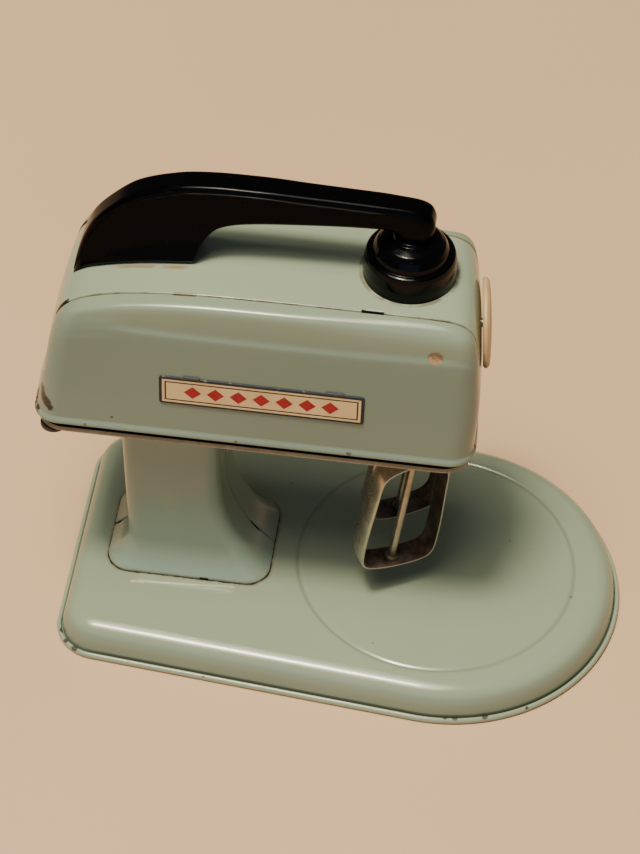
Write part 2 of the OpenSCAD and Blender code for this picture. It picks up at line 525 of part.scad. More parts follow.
module handle_screws() color(steel) {
    for (s = [[screw_x[0], 149, 162.5], [screw_x[1], 150.6, 176]]) translate([s[0], 0, 0]) union() {
        translate([0, 0, s[1]]) cylinder(r = 1.5, h = s[2] - s[1], $fn = 32);
        difference() {
            translate([0, 0, s[1] - 0.6]) cylinder(r = 2.9, h = 1.5, $fn = 32);
            box(-4, 4, -0.35, 0.35, s[1] - 2, s[1]);
        }
    }
}

// ---------- knob ----------

module knob_disc() color(cream) at_knob() rotate_extrude($fn = 96)
    polygon([[1.55, 0.4], [knob_r - 0.7, 0.4], [knob_r, 1.1], [knob_r, knob_t - 1.3], [knob_r - 1, knob_t - 0.4],
        [knob_r - 4, knob_t], [0, knob_t + 0.4], [0, 2.2], [1.55, 2.2]]);
module knob_shaft() color(steel) at_knob() translate([0, 0, -9]) cylinder(r = 1.5, h = 11.15, $fn = 32);
module knob_cam() color(brass) at_knob() translate([0, 0, -6.4]) difference() {
    union() {
        cylinder(r = 3, h = 3, $fn = 48);
        translate([0, -3.4, 0]) cylinder(r = 2, h = 3, $fn = 48);
    }
    translate([0, 0, -1]) cylinder(r = 1.52, h = 6, $fn = 32);
}

// ---------- switch ----------

module switch_insulator() color([0.45, 0.28, 0.16]) drive() box(1.2, 7.4, -4, 4, 21.04, 22.5);
module switch_leaf() color(brass) drive() union() {
    box(1.6, 8.2, -2.5, 2.5, 22.53, 22.93);
    box(7.8, 8.2, -2.5, 2.5, 22.53, 37.6);
}

base_bottom_plate();
base_shell();
post_near_half();
post_far_half();
head_pan();
battery_cradle();
battery_cell();
contact_rear();
contact_front();
spindle_bushings();
frame_standoffs();
gear_plate_lower();
frame_pillars();
gear_plate_upper();
frame_screws();
idler_pin();
motor_can();
motor_magnets();
motor_end_cap();
motor_terminals();
switch_insulator();
switch_leaf();
wire_to_motor();
wire_to_switch();
latch_rivet();
hood_top_strip();
side_panel_near();
side_panel_far();
label_plate();
handle();
handle_pedestal();
handle_screws();
knob_disc();
knob_shaft();
knob_cam();
motor_shaft();
motor_armature();
motor_pinion();
idler_pinion();
idler_gear();
spindle_near();
spindle_gear_near();
spindle_far();
spindle_gear_far();
beater_shaft_near();
beater_band_near();
beater_shaft_far();
beater_band_far();
latch_tab();
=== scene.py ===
import json
import math

import bmesh
import bpy
import numpy as np
from mathutils import Matrix, Vector, noise


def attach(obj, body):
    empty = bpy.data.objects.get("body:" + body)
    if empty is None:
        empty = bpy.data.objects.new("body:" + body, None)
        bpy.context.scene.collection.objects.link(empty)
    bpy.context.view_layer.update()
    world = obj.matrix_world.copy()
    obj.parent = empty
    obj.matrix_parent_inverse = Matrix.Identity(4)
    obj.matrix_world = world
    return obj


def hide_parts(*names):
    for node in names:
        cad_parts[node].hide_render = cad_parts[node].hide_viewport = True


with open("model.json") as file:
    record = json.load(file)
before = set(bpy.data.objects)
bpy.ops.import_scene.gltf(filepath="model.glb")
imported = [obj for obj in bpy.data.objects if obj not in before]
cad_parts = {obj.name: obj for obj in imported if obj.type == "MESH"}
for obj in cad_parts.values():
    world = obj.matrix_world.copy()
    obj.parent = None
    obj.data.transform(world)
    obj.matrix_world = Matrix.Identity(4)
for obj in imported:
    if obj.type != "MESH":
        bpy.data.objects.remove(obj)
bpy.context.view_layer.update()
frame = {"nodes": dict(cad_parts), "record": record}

MM = 0.001
SCENE = bpy.context.scene


# ---------- curves ----------


def cubic(xs, ys):
    """Natural cubic spline through the points."""
    xs = np.asarray(xs, float)
    ys = np.asarray(ys, float)
    n = len(xs)
    h = np.diff(xs)
    a = np.eye(n)
    r = np.zeros(n)
    for i in range(1, n - 1):
        a[i, i - 1] = h[i - 1]
        a[i, i] = 2 * (h[i - 1] + h[i])
        a[i, i + 1] = h[i]
        r[i] = 6 * ((ys[i + 1] - ys[i]) / h[i] - (ys[i] - ys[i - 1]) / h[i - 1])
    m = np.linalg.solve(a, r)

    def f(x):
        x = np.asarray(x, float)
        k = np.clip(np.searchsorted(xs, x) - 1, 0, n - 2)
        b = h[k]
        t = x - xs[k]
        u = b - t
        return (m[k] * u**3 + m[k + 1] * t**3) / (6 * b) + (ys[k] / b - m[k] * b / 6) * u + (ys[k + 1] / b - m[k + 1] * b / 6) * t

    return f


def steady(xs, ys):
    """Cubic through the points that never overshoots them."""
    xs = np.asarray(xs, float)
    ys = np.asarray(ys, float)
    n = len(xs)
    h = np.diff(xs)
    d = np.diff(ys) / h
    m = np.zeros(n)
    m[0] = d[0]
    m[-1] = d[-1]
    for i in range(1, n - 1):
        if d[i - 1] * d[i] > 0:
            m[i] = 3 * (h[i - 1] + h[i]) / ((2 * h[i] + h[i - 1]) / d[i - 1] + (h[i] + 2 * h[i - 1]) / d[i])

    def f(x):
        x = np.clip(np.asarray(x, float), xs[0], xs[-1])
        k = np.clip(np.searchsorted(xs, x) - 1, 0, n - 2)
        b = h[k]
        t = (x - xs[k]) / b
        return (
            (1 + 2 * t) * (1 - t) ** 2 * ys[k]
            + t * (1 - t) ** 2 * b * m[k]
            + t * t * (3 - 2 * t) * ys[k + 1]
            + t * t * (t - 1) * b * m[k + 1]
        )

    return f


class Curve:
    """Smooth curve through points, read by fraction of its length."""

    def __init__(self, pts, kind=cubic):
        p = np.asarray(pts, float)
        d = np.r_[0, np.cumsum(np.linalg.norm(np.diff(p, axis=0), axis=1))]
        t = np.linspace(0, d[-1], 4000)
        self.q = np.stack([kind(d, p[:, k])(t) for k in range(p.shape[1])], axis=1)
        self.l = np.r_[0, np.cumsum(np.linalg.norm(np.diff(self.q, axis=0), axis=1))]
        self.knots = np.interp(d, t, self.l) / self.l[-1]

    def at(self, u):
        x = np.asarray(u, float) * self.l[-1]
        return np.stack([np.interp(x, self.l, self.q[:, k]) for k in range(self.q.shape[1])], axis=-1)

    def left(self, u):
        """Unit normal to the left of the direction of travel."""
        d = self.at(np.clip(np.asarray(u) + 2e-4, 0, 1)) - self.at(np.clip(np.asarray(u) - 2e-4, 0, 1))
        d = d / np.linalg.norm(d, axis=-1, keepdims=True)
        return np.stack([-d[..., 1], d[..., 0]], axis=-1)


def smooth(x, lo, hi):
    t = np.clip((np.asarray(x, float) - lo) / (hi - lo), 0, 1)
    return t * t * (3 - 2 * t)


def rounded(pts, rad, n=6):
    """Polyline with its corners rounded."""
    pts = [np.asarray(p, float) for p in pts]
    out = [pts[0]]
    for i in range(1, len(pts) - 1):
        a, b, c = pts[i - 1], pts[i], pts[i + 1]
        r = rad[i] if isinstance(rad, (list, tuple)) else rad
        u, v = a - b, c - b
        lu, lv = np.linalg.norm(u), np.linalg.norm(v)
        u, v = u / lu, v / lv
        ang = math.acos(max(-1.0, min(1.0, float(u @ v))))
        if r <= 0 or ang > math.pi - 0.03:
            out.append(b)
            continue
        t = min(r / math.tan(ang / 2), lu * 0.48, lv * 0.48)
        for k in range(n + 1):
            s = k / n
            out.append((1 - s) ** 2 * (b + u * t) + 2 * s * (1 - s) * b + s * s * (b + v * t))
    out.append(pts[-1])
    return np.array(out)


def wob(p, scale, seed=0.0):
    """Smooth repeatable unevenness for an array of points."""
    flat = p.reshape(-1, 3)
    w = [noise.noise(Vector((q[0] * scale + seed, q[1] * scale - seed, q[2] * scale + 2 * seed))) for q in flat]
    return np.array(w).reshape(p.shape[:-1])


# ---------- meshes ----------


def grid_normals(g):
    n = np.cross(np.gradient(g, axis=0), np.gradient(g, axis=1))
    n /= np.linalg.norm(n, axis=2, keepdims=True) + 1e-12
    return n


def closed_sheet(outer, inner):
    r, c, _ = outer.shape
    n = r * c
    k = np.arange(n).reshape(r, c).tolist()
    f = []
    for i in range(r - 1):
        for j in range(c - 1):
            f.append((k[i][j], k[i][j + 1], k[i + 1][j + 1], k[i + 1][j]))
            f.append((n + k[i][j], n + k[i + 1][j], n + k[i + 1][j + 1], n + k[i][j + 1]))
    for j in range(c - 1):
        f.append((k[0][j + 1], k[0][j], n + k[0][j], n + k[0][j + 1]))
        f.append((k[r - 1][j], k[r - 1][j + 1], n + k[r - 1][j + 1], n + k[r - 1][j]))
    for i in range(r - 1):
        f.append((k[i][0], k[i + 1][0], n + k[i + 1][0], n + k[i][0]))
        f.append((k[i + 1][c - 1], k[i][c - 1], n + k[i][c - 1], n + k[i + 1][c - 1]))
    return np.concatenate([outer.reshape(-1, 3), inner.reshape(-1, 3)]), f


def loft(rings, c0=None, c1=None, ring_closed=True, rows_closed=False):
    """Surface through a row of rings; each end may close to a centre point."""
    rings = np.asarray(rings, float)
    r, c, _ = rings.shape
    v = rings.reshape(-1, 3)
    f = []
    for i in range(r if rows_closed else r - 1):
        a = i * c
        b = ((i + 1) % r) * c
        for j in range(c if ring_closed else c - 1):
            k = (j + 1) % c
            f.append((a + j, a + k, b + k, b + j))
    extra = []
    for centre, row in ((c0, 0), (c1, r - 1)):
        if centre is not None:
            p = len(v) + len(extra)
            extra.append(centre)
            for j in range(c):
                k = (j + 1) % c
                f.append((p, row * c + k, row * c + j) if row == 0 else (p, row * c + j, row * c + k))
    if extra:
        v = np.concatenate([v, np.asarray(extra, float)])
    return v, f


def lathe(profile, n=128):
    """Turned shape about Z from (radius, height) pairs that start and end on the axis."""
    p = np.asarray(profile, float)
    a = np.linspace(0, 2 * math.pi, n, endpoint=False)
    rings = [np.stack([q[0] * np.cos(a), q[0] * np.sin(a), np.full(n, q[1])], axis=1) for q in p[1:-1]]
    return loft(rings, (0, 0, p[0][1]), (0, 0, p[-1][1]))


def rounded_box(size, r, n=4):
    """Box with rounded edges, centred on the origin."""
    bm = bmesh.new()
    bmesh.ops.create_cube(bm, size=1.0)
    for v in bm.verts:
        v.co = Vector((v.co.x * size[0], v.co.y * size[1], v.co.z * size[2]))
    bmesh.ops.bevel(bm, geom=bm.edges[:], offset=r, segments=n, profile=0.5, affect="EDGES")
    bm.verts.ensure_lookup_table()
    v = np.array([tuple(q.co) for q in bm.verts])
    f = [tuple(w.index for w in q.verts) for q in bm.faces]
    bm.free()
    return v, f


def join(*meshes):
    vs, fs, k = [], [], 0
    for v, f in meshes:
        vs.append(np.asarray(v, float))
        fs += [tuple(i + k for i in q) for q in f]
        k += len(v)
    return np.concatenate(vs), fs


def make(name, mesh, body, mat, nodes=(), attrs=None, angle=38.0):
    v, f = mesh
    me = bpy.data.meshes.new(name)
    me.from_pydata((np.asarray(v) * MM).tolist(), [], f)
    bm = bmesh.new()
    bm.from_mesh(me)
    bmesh.ops.recalc_face_normals(bm, faces=bm.faces)
    bm.to_mesh(me)
    bm.free()
    me.polygons.foreach_set("use_smooth", [True] * len(me.polygons))
    me.set_sharp_from_angle(angle=math.radians(angle))
    for key, val in (attrs or {}).items():
        a = me.attributes.new(key, "FLOAT", "POINT")
        a.data.foreach_set("value", np.asarray(val, np.float32))
    me.materials.append(mat)
    ob = bpy.data.objects.new(name, me)
    SCENE.collection.objects.link(ob)
    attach(ob, body)
    if nodes:
        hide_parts(*nodes)
    return ob


# ---------- shading ----------


class Shade:
    """A material and short names for the nodes that it is made of. Lengths are in millimetres of the rest pose."""

    def __init__(self, name):
        self.mat = bpy.data.materials.new(name)
        self.mat.use_nodes = True
        self.t = self.mat.node_tree
        self.t.nodes.clear()
        out = self.t.nodes.new("ShaderNodeOutputMaterial")
        self.bsdf = self.t.nodes.new("ShaderNodeBsdfPrincipled")
        self.t.links.new(self.bsdf.outputs["BSDF"], out.inputs["Surface"])
        self._co = None
        self._xyz = None

    def put(self, socket, v):
        if isinstance(v, bpy.types.NodeSocket):
            self.t.links.new(v, socket)
        elif isinstance(v, tuple) and len(v) == 3 and socket.type == "RGBA":
            socket.default_value = (*v, 1.0)
        else:
            socket.default_value = v

    def set(self, **inputs):
        for k, v in inputs.items():
            self.put(self.bsdf.inputs[k.replace("_", " ")], v)
        return self.mat

    def co(self):
        if self._co is None:
            tc = self.t.nodes.new("ShaderNodeTexCoord")
            self._co = self.v("SCALE", tc.outputs["Object"], scale=1000.0)
        return self._co

    def xyz(self):
        if self._xyz is None:
            n = self.t.nodes.new("ShaderNodeSeparateXYZ")
            self.put(n.inputs[0], self.co())
            self._xyz = (n.outputs[0], n.outputs[1], n.outputs[2])
        return self._xyz

    def v(self, op, a, b=None, scale=None):
        n = self.t.nodes.new("ShaderNodeVectorMath")
        n.operation = op
        self.put(n.inputs[0], a)
        if b is not None:
            self.put(n.inputs[1], b)
        if scale is not None:
            self.put(n.inputs["Scale"], scale)
        return n.outputs["Value"] if op in ("DISTANCE", "LENGTH", "DOT_PRODUCT") else n.outputs["Vector"]

    def m(self, op, a, b=None, clamp=False):
        n = self.t.nodes.new("ShaderNodeMath")
        n.operation = op
        n.use_clamp = clamp
        self.put(n.inputs[0], a)
        if b is not None:
            self.put(n.inputs[1], b)
        return n.outputs[0]

    def add(self, a, b):
        return self.m("ADD", a, b)

    def sub(self, a, b):
        return self.m("SUBTRACT", a, b)

    def mul(self, a, b):
        return self.m("MULTIPLY", a, b)

    def most(self, *a):
        out = a[0]
        for b in a[1:]:
            out = self.m("MAXIMUM", out, b)
        return out

    def step(self, v, lo, hi):
        """0 at lo, 1 at hi, smooth between."""
        n = self.t.nodes.new("ShaderNodeMapRange")
        n.interpolation_type = "SMOOTHSTEP"
        self.put(n.inputs["Value"], v)
        n.inputs["From Min"].default_value = lo
        n.inputs["From Max"].default_value = hi
        return n.outputs[0]

    def span(self, v, lo, hi, edge):
        """1 between lo and hi, falling to 0 over edge outside."""
        return self.mul(self.step(v, lo - edge, lo), self.step(v, hi + edge, hi))

    def noise(self, scale, detail=2.0, rough=0.5, stretch=None, shift=0.0):
        n = self.t.nodes.new("ShaderNodeTexNoise")
        p = self.co()
        if stretch is not None:
            p = self.v("MULTIPLY", p, stretch)
        if shift:
            p = self.v("ADD", p, (shift, 0.7 * shift, 1.3 * shift))
        self.put(n.inputs["Vector"], p)
        n.inputs["Scale"].default_value = scale
        n.inputs["Detail"].default_value = detail
        n.inputs["Roughness"].default_value = rough
        return n.outputs[0]

    def cells(self, scale):
        n = self.t.nodes.new("ShaderNodeTexVoronoi")
        self.put(n.inputs["Vector"], self.co())
        n.inputs["Scale"].default_value = scale
        return n.outputs["Distance"]

    def mix(self, f, a, b):
        n = self.t.nodes.new("ShaderNodeMix")
        n.data_type = "RGBA"
        self.put(n.inputs[0], f)
        self.put(n.inputs[6], a)
        self.put(n.inputs[7], b)
        return n.outputs[2]

    def attr(self, name):
        n = self.t.nodes.new("ShaderNodeAttribute")
        n.attribute_name = name
        return n.outputs["Fac"]

    def bump(self, height, dist, strength=1.0, normal=None):
        n = self.t.nodes.new("ShaderNodeBump")
        self.put(n.inputs["Height"], height)
        n.inputs["Strength"].default_value = strength
        n.inputs["Distance"].default_value = dist
        if normal is not None:
            self.put(n.inputs["Normal"], normal)
        return n.outputs[0]

    def shaken(self, amount, scale=0.7):
        """Coordinates moved about a little, for ragged edges."""
        n = self.t.nodes.new("ShaderNodeTexNoise")
        self.put(n.inputs["Vector"], self.co())
        n.inputs["Scale"].default_value = scale
        n.inputs["Detail"].default_value = 3.0
        d = self.v("SUBTRACT", n.outputs["Color"], (0.5, 0.5, 0.5))
        return self.v("ADD", self.co(), self.v("SCALE", d, scale=amount))

    def spots(self, places, ragged=1.2):
        """Ragged round marks, each x, y, z, radius."""
        p = self.shaken(ragged)
        out = None
        for x, y, z, r in places:
            k = self.step(self.v("DISTANCE", p, (x, y, z)), r * 1.12, r * 0.82)
            out = k if out is None else self.most(out, k)
        return out

    def strokes(self, places, ragged=0.6):
        """Ragged straight marks, each from one point to another with a half width."""
        p = self.shaken(ragged)
        out = None
        for a, b, w in places:
            a, b = Vector(a), Vector(b)
            d = b - a
            u = d.normalized()
            q = self.v("SUBTRACT", p, tuple(a))
            t = self.m("MINIMUM", self.m("MAXIMUM", self.v("DOT_PRODUCT", q, tuple(u)), 0.0), d.length)
            s = self.t.nodes.new("ShaderNodeVectorMath")
            s.operation = "SCALE"
            s.inputs[0].default_value = tuple(u)
            self.put(s.inputs["Scale"], t)
            k = self.step(self.v("DISTANCE", q, s.outputs["Vector"]), w * 1.3, w * 0.6)
            out = k if out is None else self.most(out, k)
        return out


MINT_A = (0.246, 0.303, 0.226)
MINT_B = (0.267, 0.326, 0.244)
# near-black for painted shade in slots, gaps and creases, and for chipped paint
SHADE_AND_CHIP_BLACK = (0.010, 0.008, 0.006)


def mint(name, marks=None, seed=0.0, tone=(1.0, 1.0, 1.0), gloss=0.42):
    """Enamel on pressed tin: slow drift in tone, faint mottling, dust specks and a slightly uneven gloss."""
    s = Shade(name)
    # tone scales the whole colour; the base, post and side panels pass a darker tone as painted shade
    c = s.mix(s.step(s.noise(0.014, 2.0, shift=seed), 0.3, 0.7), tuple(t * v for t, v in zip(tone, MINT_A)), tuple(t * v for t, v in zip(tone, MINT_B)))
    c = s.mix(s.mul(s.step(s.noise(0.06, 4.0, 0.6, shift=seed + 9), 0.5, 0.8), 0.22), c, (0.275, 0.29, 0.21))
    c = s.mix(s.mul(s.step(s.noise(1.4, 2.0, shift=seed + 3), 0.72, 0.80), 0.30), c, (0.15, 0.135, 0.09))
    rough = s.add(s.mul(s.noise(0.09, 3.0, 0.6, shift=seed), 0.08), 0.15)
    if marks is not None:
        c, rough = marks(s, c, rough)
    nrm = s.bump(s.noise(0.32, 2.0, 0.5, shift=seed), 0.00006, 0.35)
    return s.set(Base_Color=c, Roughness=rough, Specular_IOR_Level=gloss, Coat_Weight=0.12, Coat_Roughness=0.10, Normal=nrm)


def foot_distance(s):
    """Distance outside the outline of the post's foot."""
    x, y, _ = s.xyz()
    qx = s.sub(s.m("ABSOLUTE", s.add(x, 51.65)), 20.75)
    qy = s.sub(s.m("ABSOLUTE", y), 12.4)
    hx = s.m("MAXIMUM", qx, 0.0)
    hy = s.m("MAXIMUM", qy, 0.0)
    out = s.m("SQRT", s.add(s.mul(hx, hx), s.mul(hy, hy)))
    inn = s.m("MINIMUM", s.m("MAXIMUM", qx, qy), 0.0)
    return s.sub(s.add(out, inn), 8.5)


def base_marks(s, c, rough):
    x, y, z = s.xyz()
    d = foot_distance(s)
    ragged = s.mul(s.sub(s.noise(0.35, 3.0), 0.5), 1.1)
    d = s.add(d, ragged)
    top = s.step(z, 12.0, 12.5)
    c = s.mix(s.mul(s.mul(s.step(d, 1.5, 0.2), top), 0.55), c, (0.14, 0.095, 0.045))
    # painted shade: a black line in the crease round the post's foot
    c = s.mix(s.mul(s.step(d, 0.42, 0.1), top), c, SHADE_AND_CHIP_BLACK)
    # painted highlight: a pale streak beside the foot, where the base is bent up a little
    streak = s.strokes([((-70.5, -25.3, 12.8), (-66.5, -25.1, 12.8), 0.6), ((-67, -25.0, 12.8), (-34, -22.7, 12.8), 0.34)], 0.5)
    c = s.mix(s.mul(streak, 0.75), c, (0.50, 0.47, 0.33))
    # the pressed ring is painted darker
    rx = s.sub(x, 36.4)
    r = s.m("SQRT", s.add(s.mul(rx, rx), s.mul(y, y)))
    ring = s.mul(s.step(s.m("ABSOLUTE", s.sub(r, 50.0)), 0.7, 0.15), top)
    c = s.mix(s.mul(ring, 0.45), c, (0.085, 0.075, 0.045))
    c = s.mix(s.mul(s.spots([(85.7, -9, 12.8, 0.7), (-91.1, -32.4, 12.7, 0.5), (62, 14, 12.8, 0.35), (18, -41, 12.8, 0.3), (-20, 30, 12.8, 0.3)], 0.4), 0.8), c, (0.10, 0.07, 0.035))
    # painted shade: the side is painted darker and cooler; low at the rear, dirt and painted shade darken it where it
    # meets the rolled rim
    c = s.mix(s.mul(s.step(z, 11.6, 8.0), 0.28), c, (0.070, 0.10, 0.090))
    low = s.mul(s.step(z, 3.4, 2.3), s.step(x, -96, -70))
    c = s.mix(s.mul(low, 0.70), c, (0.065, 0.055, 0.034))
    return c, rough


def rim_marks(s, c, rough):
    x, y, z = s.xyz()
    chips = s.spots(
        [(-92.4, -43, 2.5, 1.3), (-90.5, -47.4, 2.5, 1.0), (-86.7, -50.5, 2.5, 1.3), (46.1, -62.1, 2.5, 0.9), (49.5, -61.6, 2.5, 1.0),
         (59.8, -59.2, 2.5, 1.1), (90.1, -40.9, 2.4, 1.2), (74, -53.2, 2.2, 0.7), (-40, -56.0, 2.2, 0.5), (12, -61.5, 2.2, 0.5),
         (-88, 49, 2.4, 1.2), (20, 62, 2.3, 1.0), (80, 49, 2.3, 1.1)], 1.6)
    c = s.mix(s.mul(chips, 0.9), c, (0.03, 0.024, 0.018))
    c = s.mix(s.mul(s.step(z, 0.9, 0.2), 0.6), c, (0.12, 0.10, 0.06))
    return c, s.add(rough, s.mul(chips, 0.25))


def post_marks(s, c, rough):
    x, y, z = s.xyz()
    rag = s.mul(s.sub(s.noise(0.3, 3.0), 0.5), 1.6)
    low = s.step(s.add(z, rag), 14.6, 13.0)
    c = s.mix(s.mul(low, 0.5), c, (0.17, 0.13, 0.07))
    edge = s.step(s.m("ABSOLUTE", y), 0.75, 0.3)
    c = s.mix(s.mul(edge, 0.55), c, (0.13, 0.10, 0.055))
    # painted shade: black in the tab slot at the foot
    tab = s.mul(s.mul(s.span(x, -46.6, -43.6, 0.2), s.step(z, 13.9, 13.5)), s.step(y, -20.2, -20.5))
    c = s.mix(tab, c, SHADE_AND_CHIP_BLACK)
    c = s.mix(s.mul(s.step(s.noise(0.05, 4.0, 0.65, shift=31), 0.58, 0.75), 0.25), c, (0.36, 0.34, 0.24))
    # painted shade: darker and cooler towards the top, under the hood
    c = s.mix(s.mul(s.step(z, 30.0, 60.0), 0.15), c, (0.070, 0.110, 0.100))
    # painted shade: a dark brown band at the top, where the post meets the hood
    c = s.mix(s.mul(s.step(z, 88.5, 90.4), 0.5), c, (0.14, 0.10, 0.06))
    return c, rough


def seam_slots(s, x, z):
    """Where the seams stand open: one slot in the top, one at the rear shoulder."""
    front = s.mul(s.span(x, 6.0, 13.0, 0.3), s.step(z, 149.5, 150.5))
    rear = s.mul(s.span(z, 136.8, 143.2, 0.4), s.step(x, -80, -84))
    return front, rear


def strip_marks(s, c, rough):
    x, y, z = s.xyz()
    ay = s.m("ABSOLUTE", y)
    edge = s.step(ay, 19.75, 20.1)
    patch = s.step(s.noise(0.16, 2.0, shift=5), 0.42, 0.62)
    c = s.mix(s.mul(edge, s.add(s.mul(patch, 0.40), 0.50)), c, (0.070, 0.050, 0.024))
    brown = s.mul(s.mul(s.step(ay, 19.6, 19.9), s.span(x, -54.5, -48, 1.0)), s.step(z, 150, 151))
    c = s.mix(s.mul(brown, 0.85), c, (0.075, 0.042, 0.012))
    front, rear = seam_slots(s, x, z)
    # painted shade: black in the open seam slots
    c = s.mix(s.most(s.mul(front, s.step(ay, 19.25, 19.55)), s.mul(rear, s.step(ay, 18.55, 18.95))), c, SHADE_AND_CHIP_BLACK)
    # ring of residue round the pedestal and along the handle's foot
    px = s.sub(x, 19.2)
    r = s.m("SQRT", s.add(s.mul(px, px), s.mul(y, y)))
    top = s.step(z, 150, 152)
    res = s.mul(s.span(r, 15.5, 16.3, 0.45), top)
    c = s.mix(s.mul(s.mul(res, s.step(s.noise(0.22, 3.0, shift=2), 0.35, 0.6)), 0.6), c, (0.10, 0.065, 0.028))
    foot = s.mul(s.mul(s.span(ay, 8.0, 9.1, 0.5), s.span(x, -80, -51, 2.0)), s.step(s.noise(0.2, 3.0, shift=14), 0.38, 0.58))
    c = s.mix(s.mul(foot, 0.65), c, (0.19, 0.13, 0.05))
    rear = s.mul(s.step(z, 108, 96), s.step(x, -94, -97))
    c = s.mix(s.mul(s.mul(rear, s.step(s.noise(0.25, 3.0, shift=7), 0.5, 0.7)), 0.6), c, (0.06, 0.048, 0.03))
    # bare edge beside the near seam, low on the rear
    rag = s.mul(s.sub(s.noise(0.5, 3.0, shift=6), 0.5), 5.0)
    bare = s.mul(s.mul(s.step(s.add(y, rag), -15.2, -16.8), s.step(z, 113, 110)), s.mul(s.step(x, -96, -97.5), s.step(s.noise(0.2, 3.0, shift=3), 0.25, 0.4)))
    c = s.mix(s.mul(bare, 0.93), c, SHADE_AND_CHIP_BLACK)
    return c, rough


def panel_marks(s, c, rough):
    x, y, z = s.xyz()
    ay = s.m("ABSOLUTE", y)
    # painted shade: the flank is painted darker and cooler than the shoulder, a little less so towards the bottom
    flank_shade = s.sub(0.27, s.mul(s.step(z, 116.0, 100.0), 0.07))
    c = s.mix(s.mul(s.step(z, 147.0, 138.0), flank_shade), c, (0.065, 0.125, 0.160))
    # dirt along the seam with the top strip
    edge = s.step(ay, 20.95, 20.6)
    patch = s.step(s.noise(0.16, 2.0, shift=5), 0.42, 0.62)
    c = s.mix(s.mul(edge, s.add(s.mul(patch, 0.40), 0.50)), c, (0.070, 0.050, 0.024))
    brown = s.mul(s.mul(s.step(ay, 21.3, 21.0), s.span(x, -54.5, -48, 1.0)), s.step(z, 150, 151))
    c = s.mix(s.mul(brown, 0.85), c, (0.075, 0.042, 0.012))
    nose = s.mul(s.mul(edge, s.span(x, 16, 37, 3.0)), 0.5)
    c = s.mix(nose, c, (0.13, 0.088, 0.03))
    # painted shade: black in the open seam slots
    c = s.mix(s.mul(s.most(*seam_slots(s, x, z)), s.step(ay, 21.0, 20.75)), c, SHADE_AND_CHIP_BLACK)
    # painted shade: black along the seam low on the nose, in the gap behind the corner
    front = s.mul(s.step(ay, 21.6, 20.8), s.step(z, 121, 112))
    c = s.mix(s.mul(s.mul(front, s.step(x, 40.0, 42.0)), 0.85), c, SHADE_AND_CHIP_BLACK)
    near = s.step(y, 0.0, -1.0)
    # rust bloom on the shoulder near the nose
    rust = s.mul(s.spots([(31.0, -26.9, 142.2, 2.6)], 0.9), near)
    c = s.mix(s.mul(rust, 0.85), c, s.mix(s.step(s.add(s.mul(s.noise(0.9, 2.0), 2.4), s.mul(s.sub(z, 142.0), 0.35)), 1.0, 1.5), (0.36, 0.23, 0.13), (0.15, 0.075, 0.03)))
    # paint lost at the rear lower corner
    chip = s.strokes(
        [((-99.1, -24.4, 106.6), (-98.5, -25.6, 103.9), 1.5), ((-98.6, -25.6, 104.0), (-97.4, -27.0, 102.4), 2.1),
         ((-97.4, -27.0, 102.4), (-95.9, -27.8, 100.6), 1.5), ((-100.5, -24.2, 96.6), (-100.0, -25.0, 95.4), 1.4)], 2.0)
    c = s.mix(s.mul(s.mul(chip, near), 0.98), c, s.mix(s.step(s.noise(0.9, 2.0, shift=4), 0.55, 0.7), (0.012, 0.009, 0.007), (0.040, 0.028, 0.018)))
    back = s.mul(s.mul(s.step(ay, 23.3, 22.5), s.step(x, -95.0, -97.5)), s.step(s.noise(0.2, 3.0, shift=3), 0.27, 0.42))
    back = s.mul(back, s.most(s.step(z, 113.0, 111.0), s.step(ay, 21.9, 21.2)))
    c = s.mix(s.mul(back, s.add(s.mul(near, 0.55), 0.40)), c, SHADE_AND_CHIP_BLACK)
    # painted shade under the rolled hem; above it, a faint darker band in the groove over the bead
    c = s.mix(s.mul(s.step(z, 95.1, 94.6), 0.9), c, (0.012, 0.010, 0.007))
    c = s.mix(s.mul(s.mul(s.step(z, 98.6, 97.6), s.step(z, 96.6, 97.4)), 0.18), c, (0.13, 0.11, 0.07))
    # scratches and specks
    scr = s.strokes(
        [((-60, -24.6, 152.0), (-51, -24.0, 152.4), 0.14), ((-52, -23.3, 152.6), (-41, -23.0, 152.7), 0.14), ((-57, -22.6, 152.6), (-46, -24.9, 152.3), 0.12),
         ((-49, -22.0, 152.8), (-43, -24.2, 152.5), 0.12)], 0.8)
    c = s.mix(s.mul(s.mul(scr, near), 0.45), c, (0.48, 0.50, 0.37))
    dots = s.spots([(-74.9, -28.4, 99.9, 0.55), (-20, -28.1, 104, 0.3), (20, -27.5, 128, 0.3), (-60, -27.6, 130, 0.25), (38, -26, 118, 0.3)], 0.3)
    c = s.mix(s.mul(dots, 0.85), c, (0.07, 0.05, 0.03))
    hem = s.mul(s.spots([(5, -29.1, 95.6, 0.9), (-33, -29.1, 95.5, 0.6), (-84, -29.0, 95.6, 0.7)], 1.0), near)
    c = s.mix(s.mul(hem, 0.7), c, (0.06, 0.04, 0.025))
    return c, rough


def black_plastic(name, gloss):
    s = Shade(name)
    streak = s.step(s.noise(0.5, 4.0, 0.65, stretch=(0.25, 1.6, 1.6)), 0.58, 0.72)
    scuff = s.step(s.noise(0.05, 3.0, 0.6, shift=8), 0.5, 0.75)
    dust = s.step(s.cells(0.55), 0.10, 0.05)
    dust = s.mul(dust, s.step(s.noise(0.4, 2.0, shift=21), 0.54, 0.62))
    c = s.mix(s.mul(streak, s.mul(scuff, 0.14)), (0.0010, 0.0009, 0.0016), (0.030, 0.028, 0.030))
    c = s.mix(s.mul(dust, 0.25), c, (0.10, 0.09, 0.08))
    rough = s.add(s.add(s.mul(s.noise(0.12, 3.0), 0.09), 0.10), s.add(s.mul(streak, 0.08), s.mul(scuff, 0.06)))
    nrm = s.bump(s.noise(0.5, 2.0), 0.00005, 0.35)
    return s.set(Base_Color=c, Roughness=rough, Specular_IOR_Level=gloss, Normal=nrm)


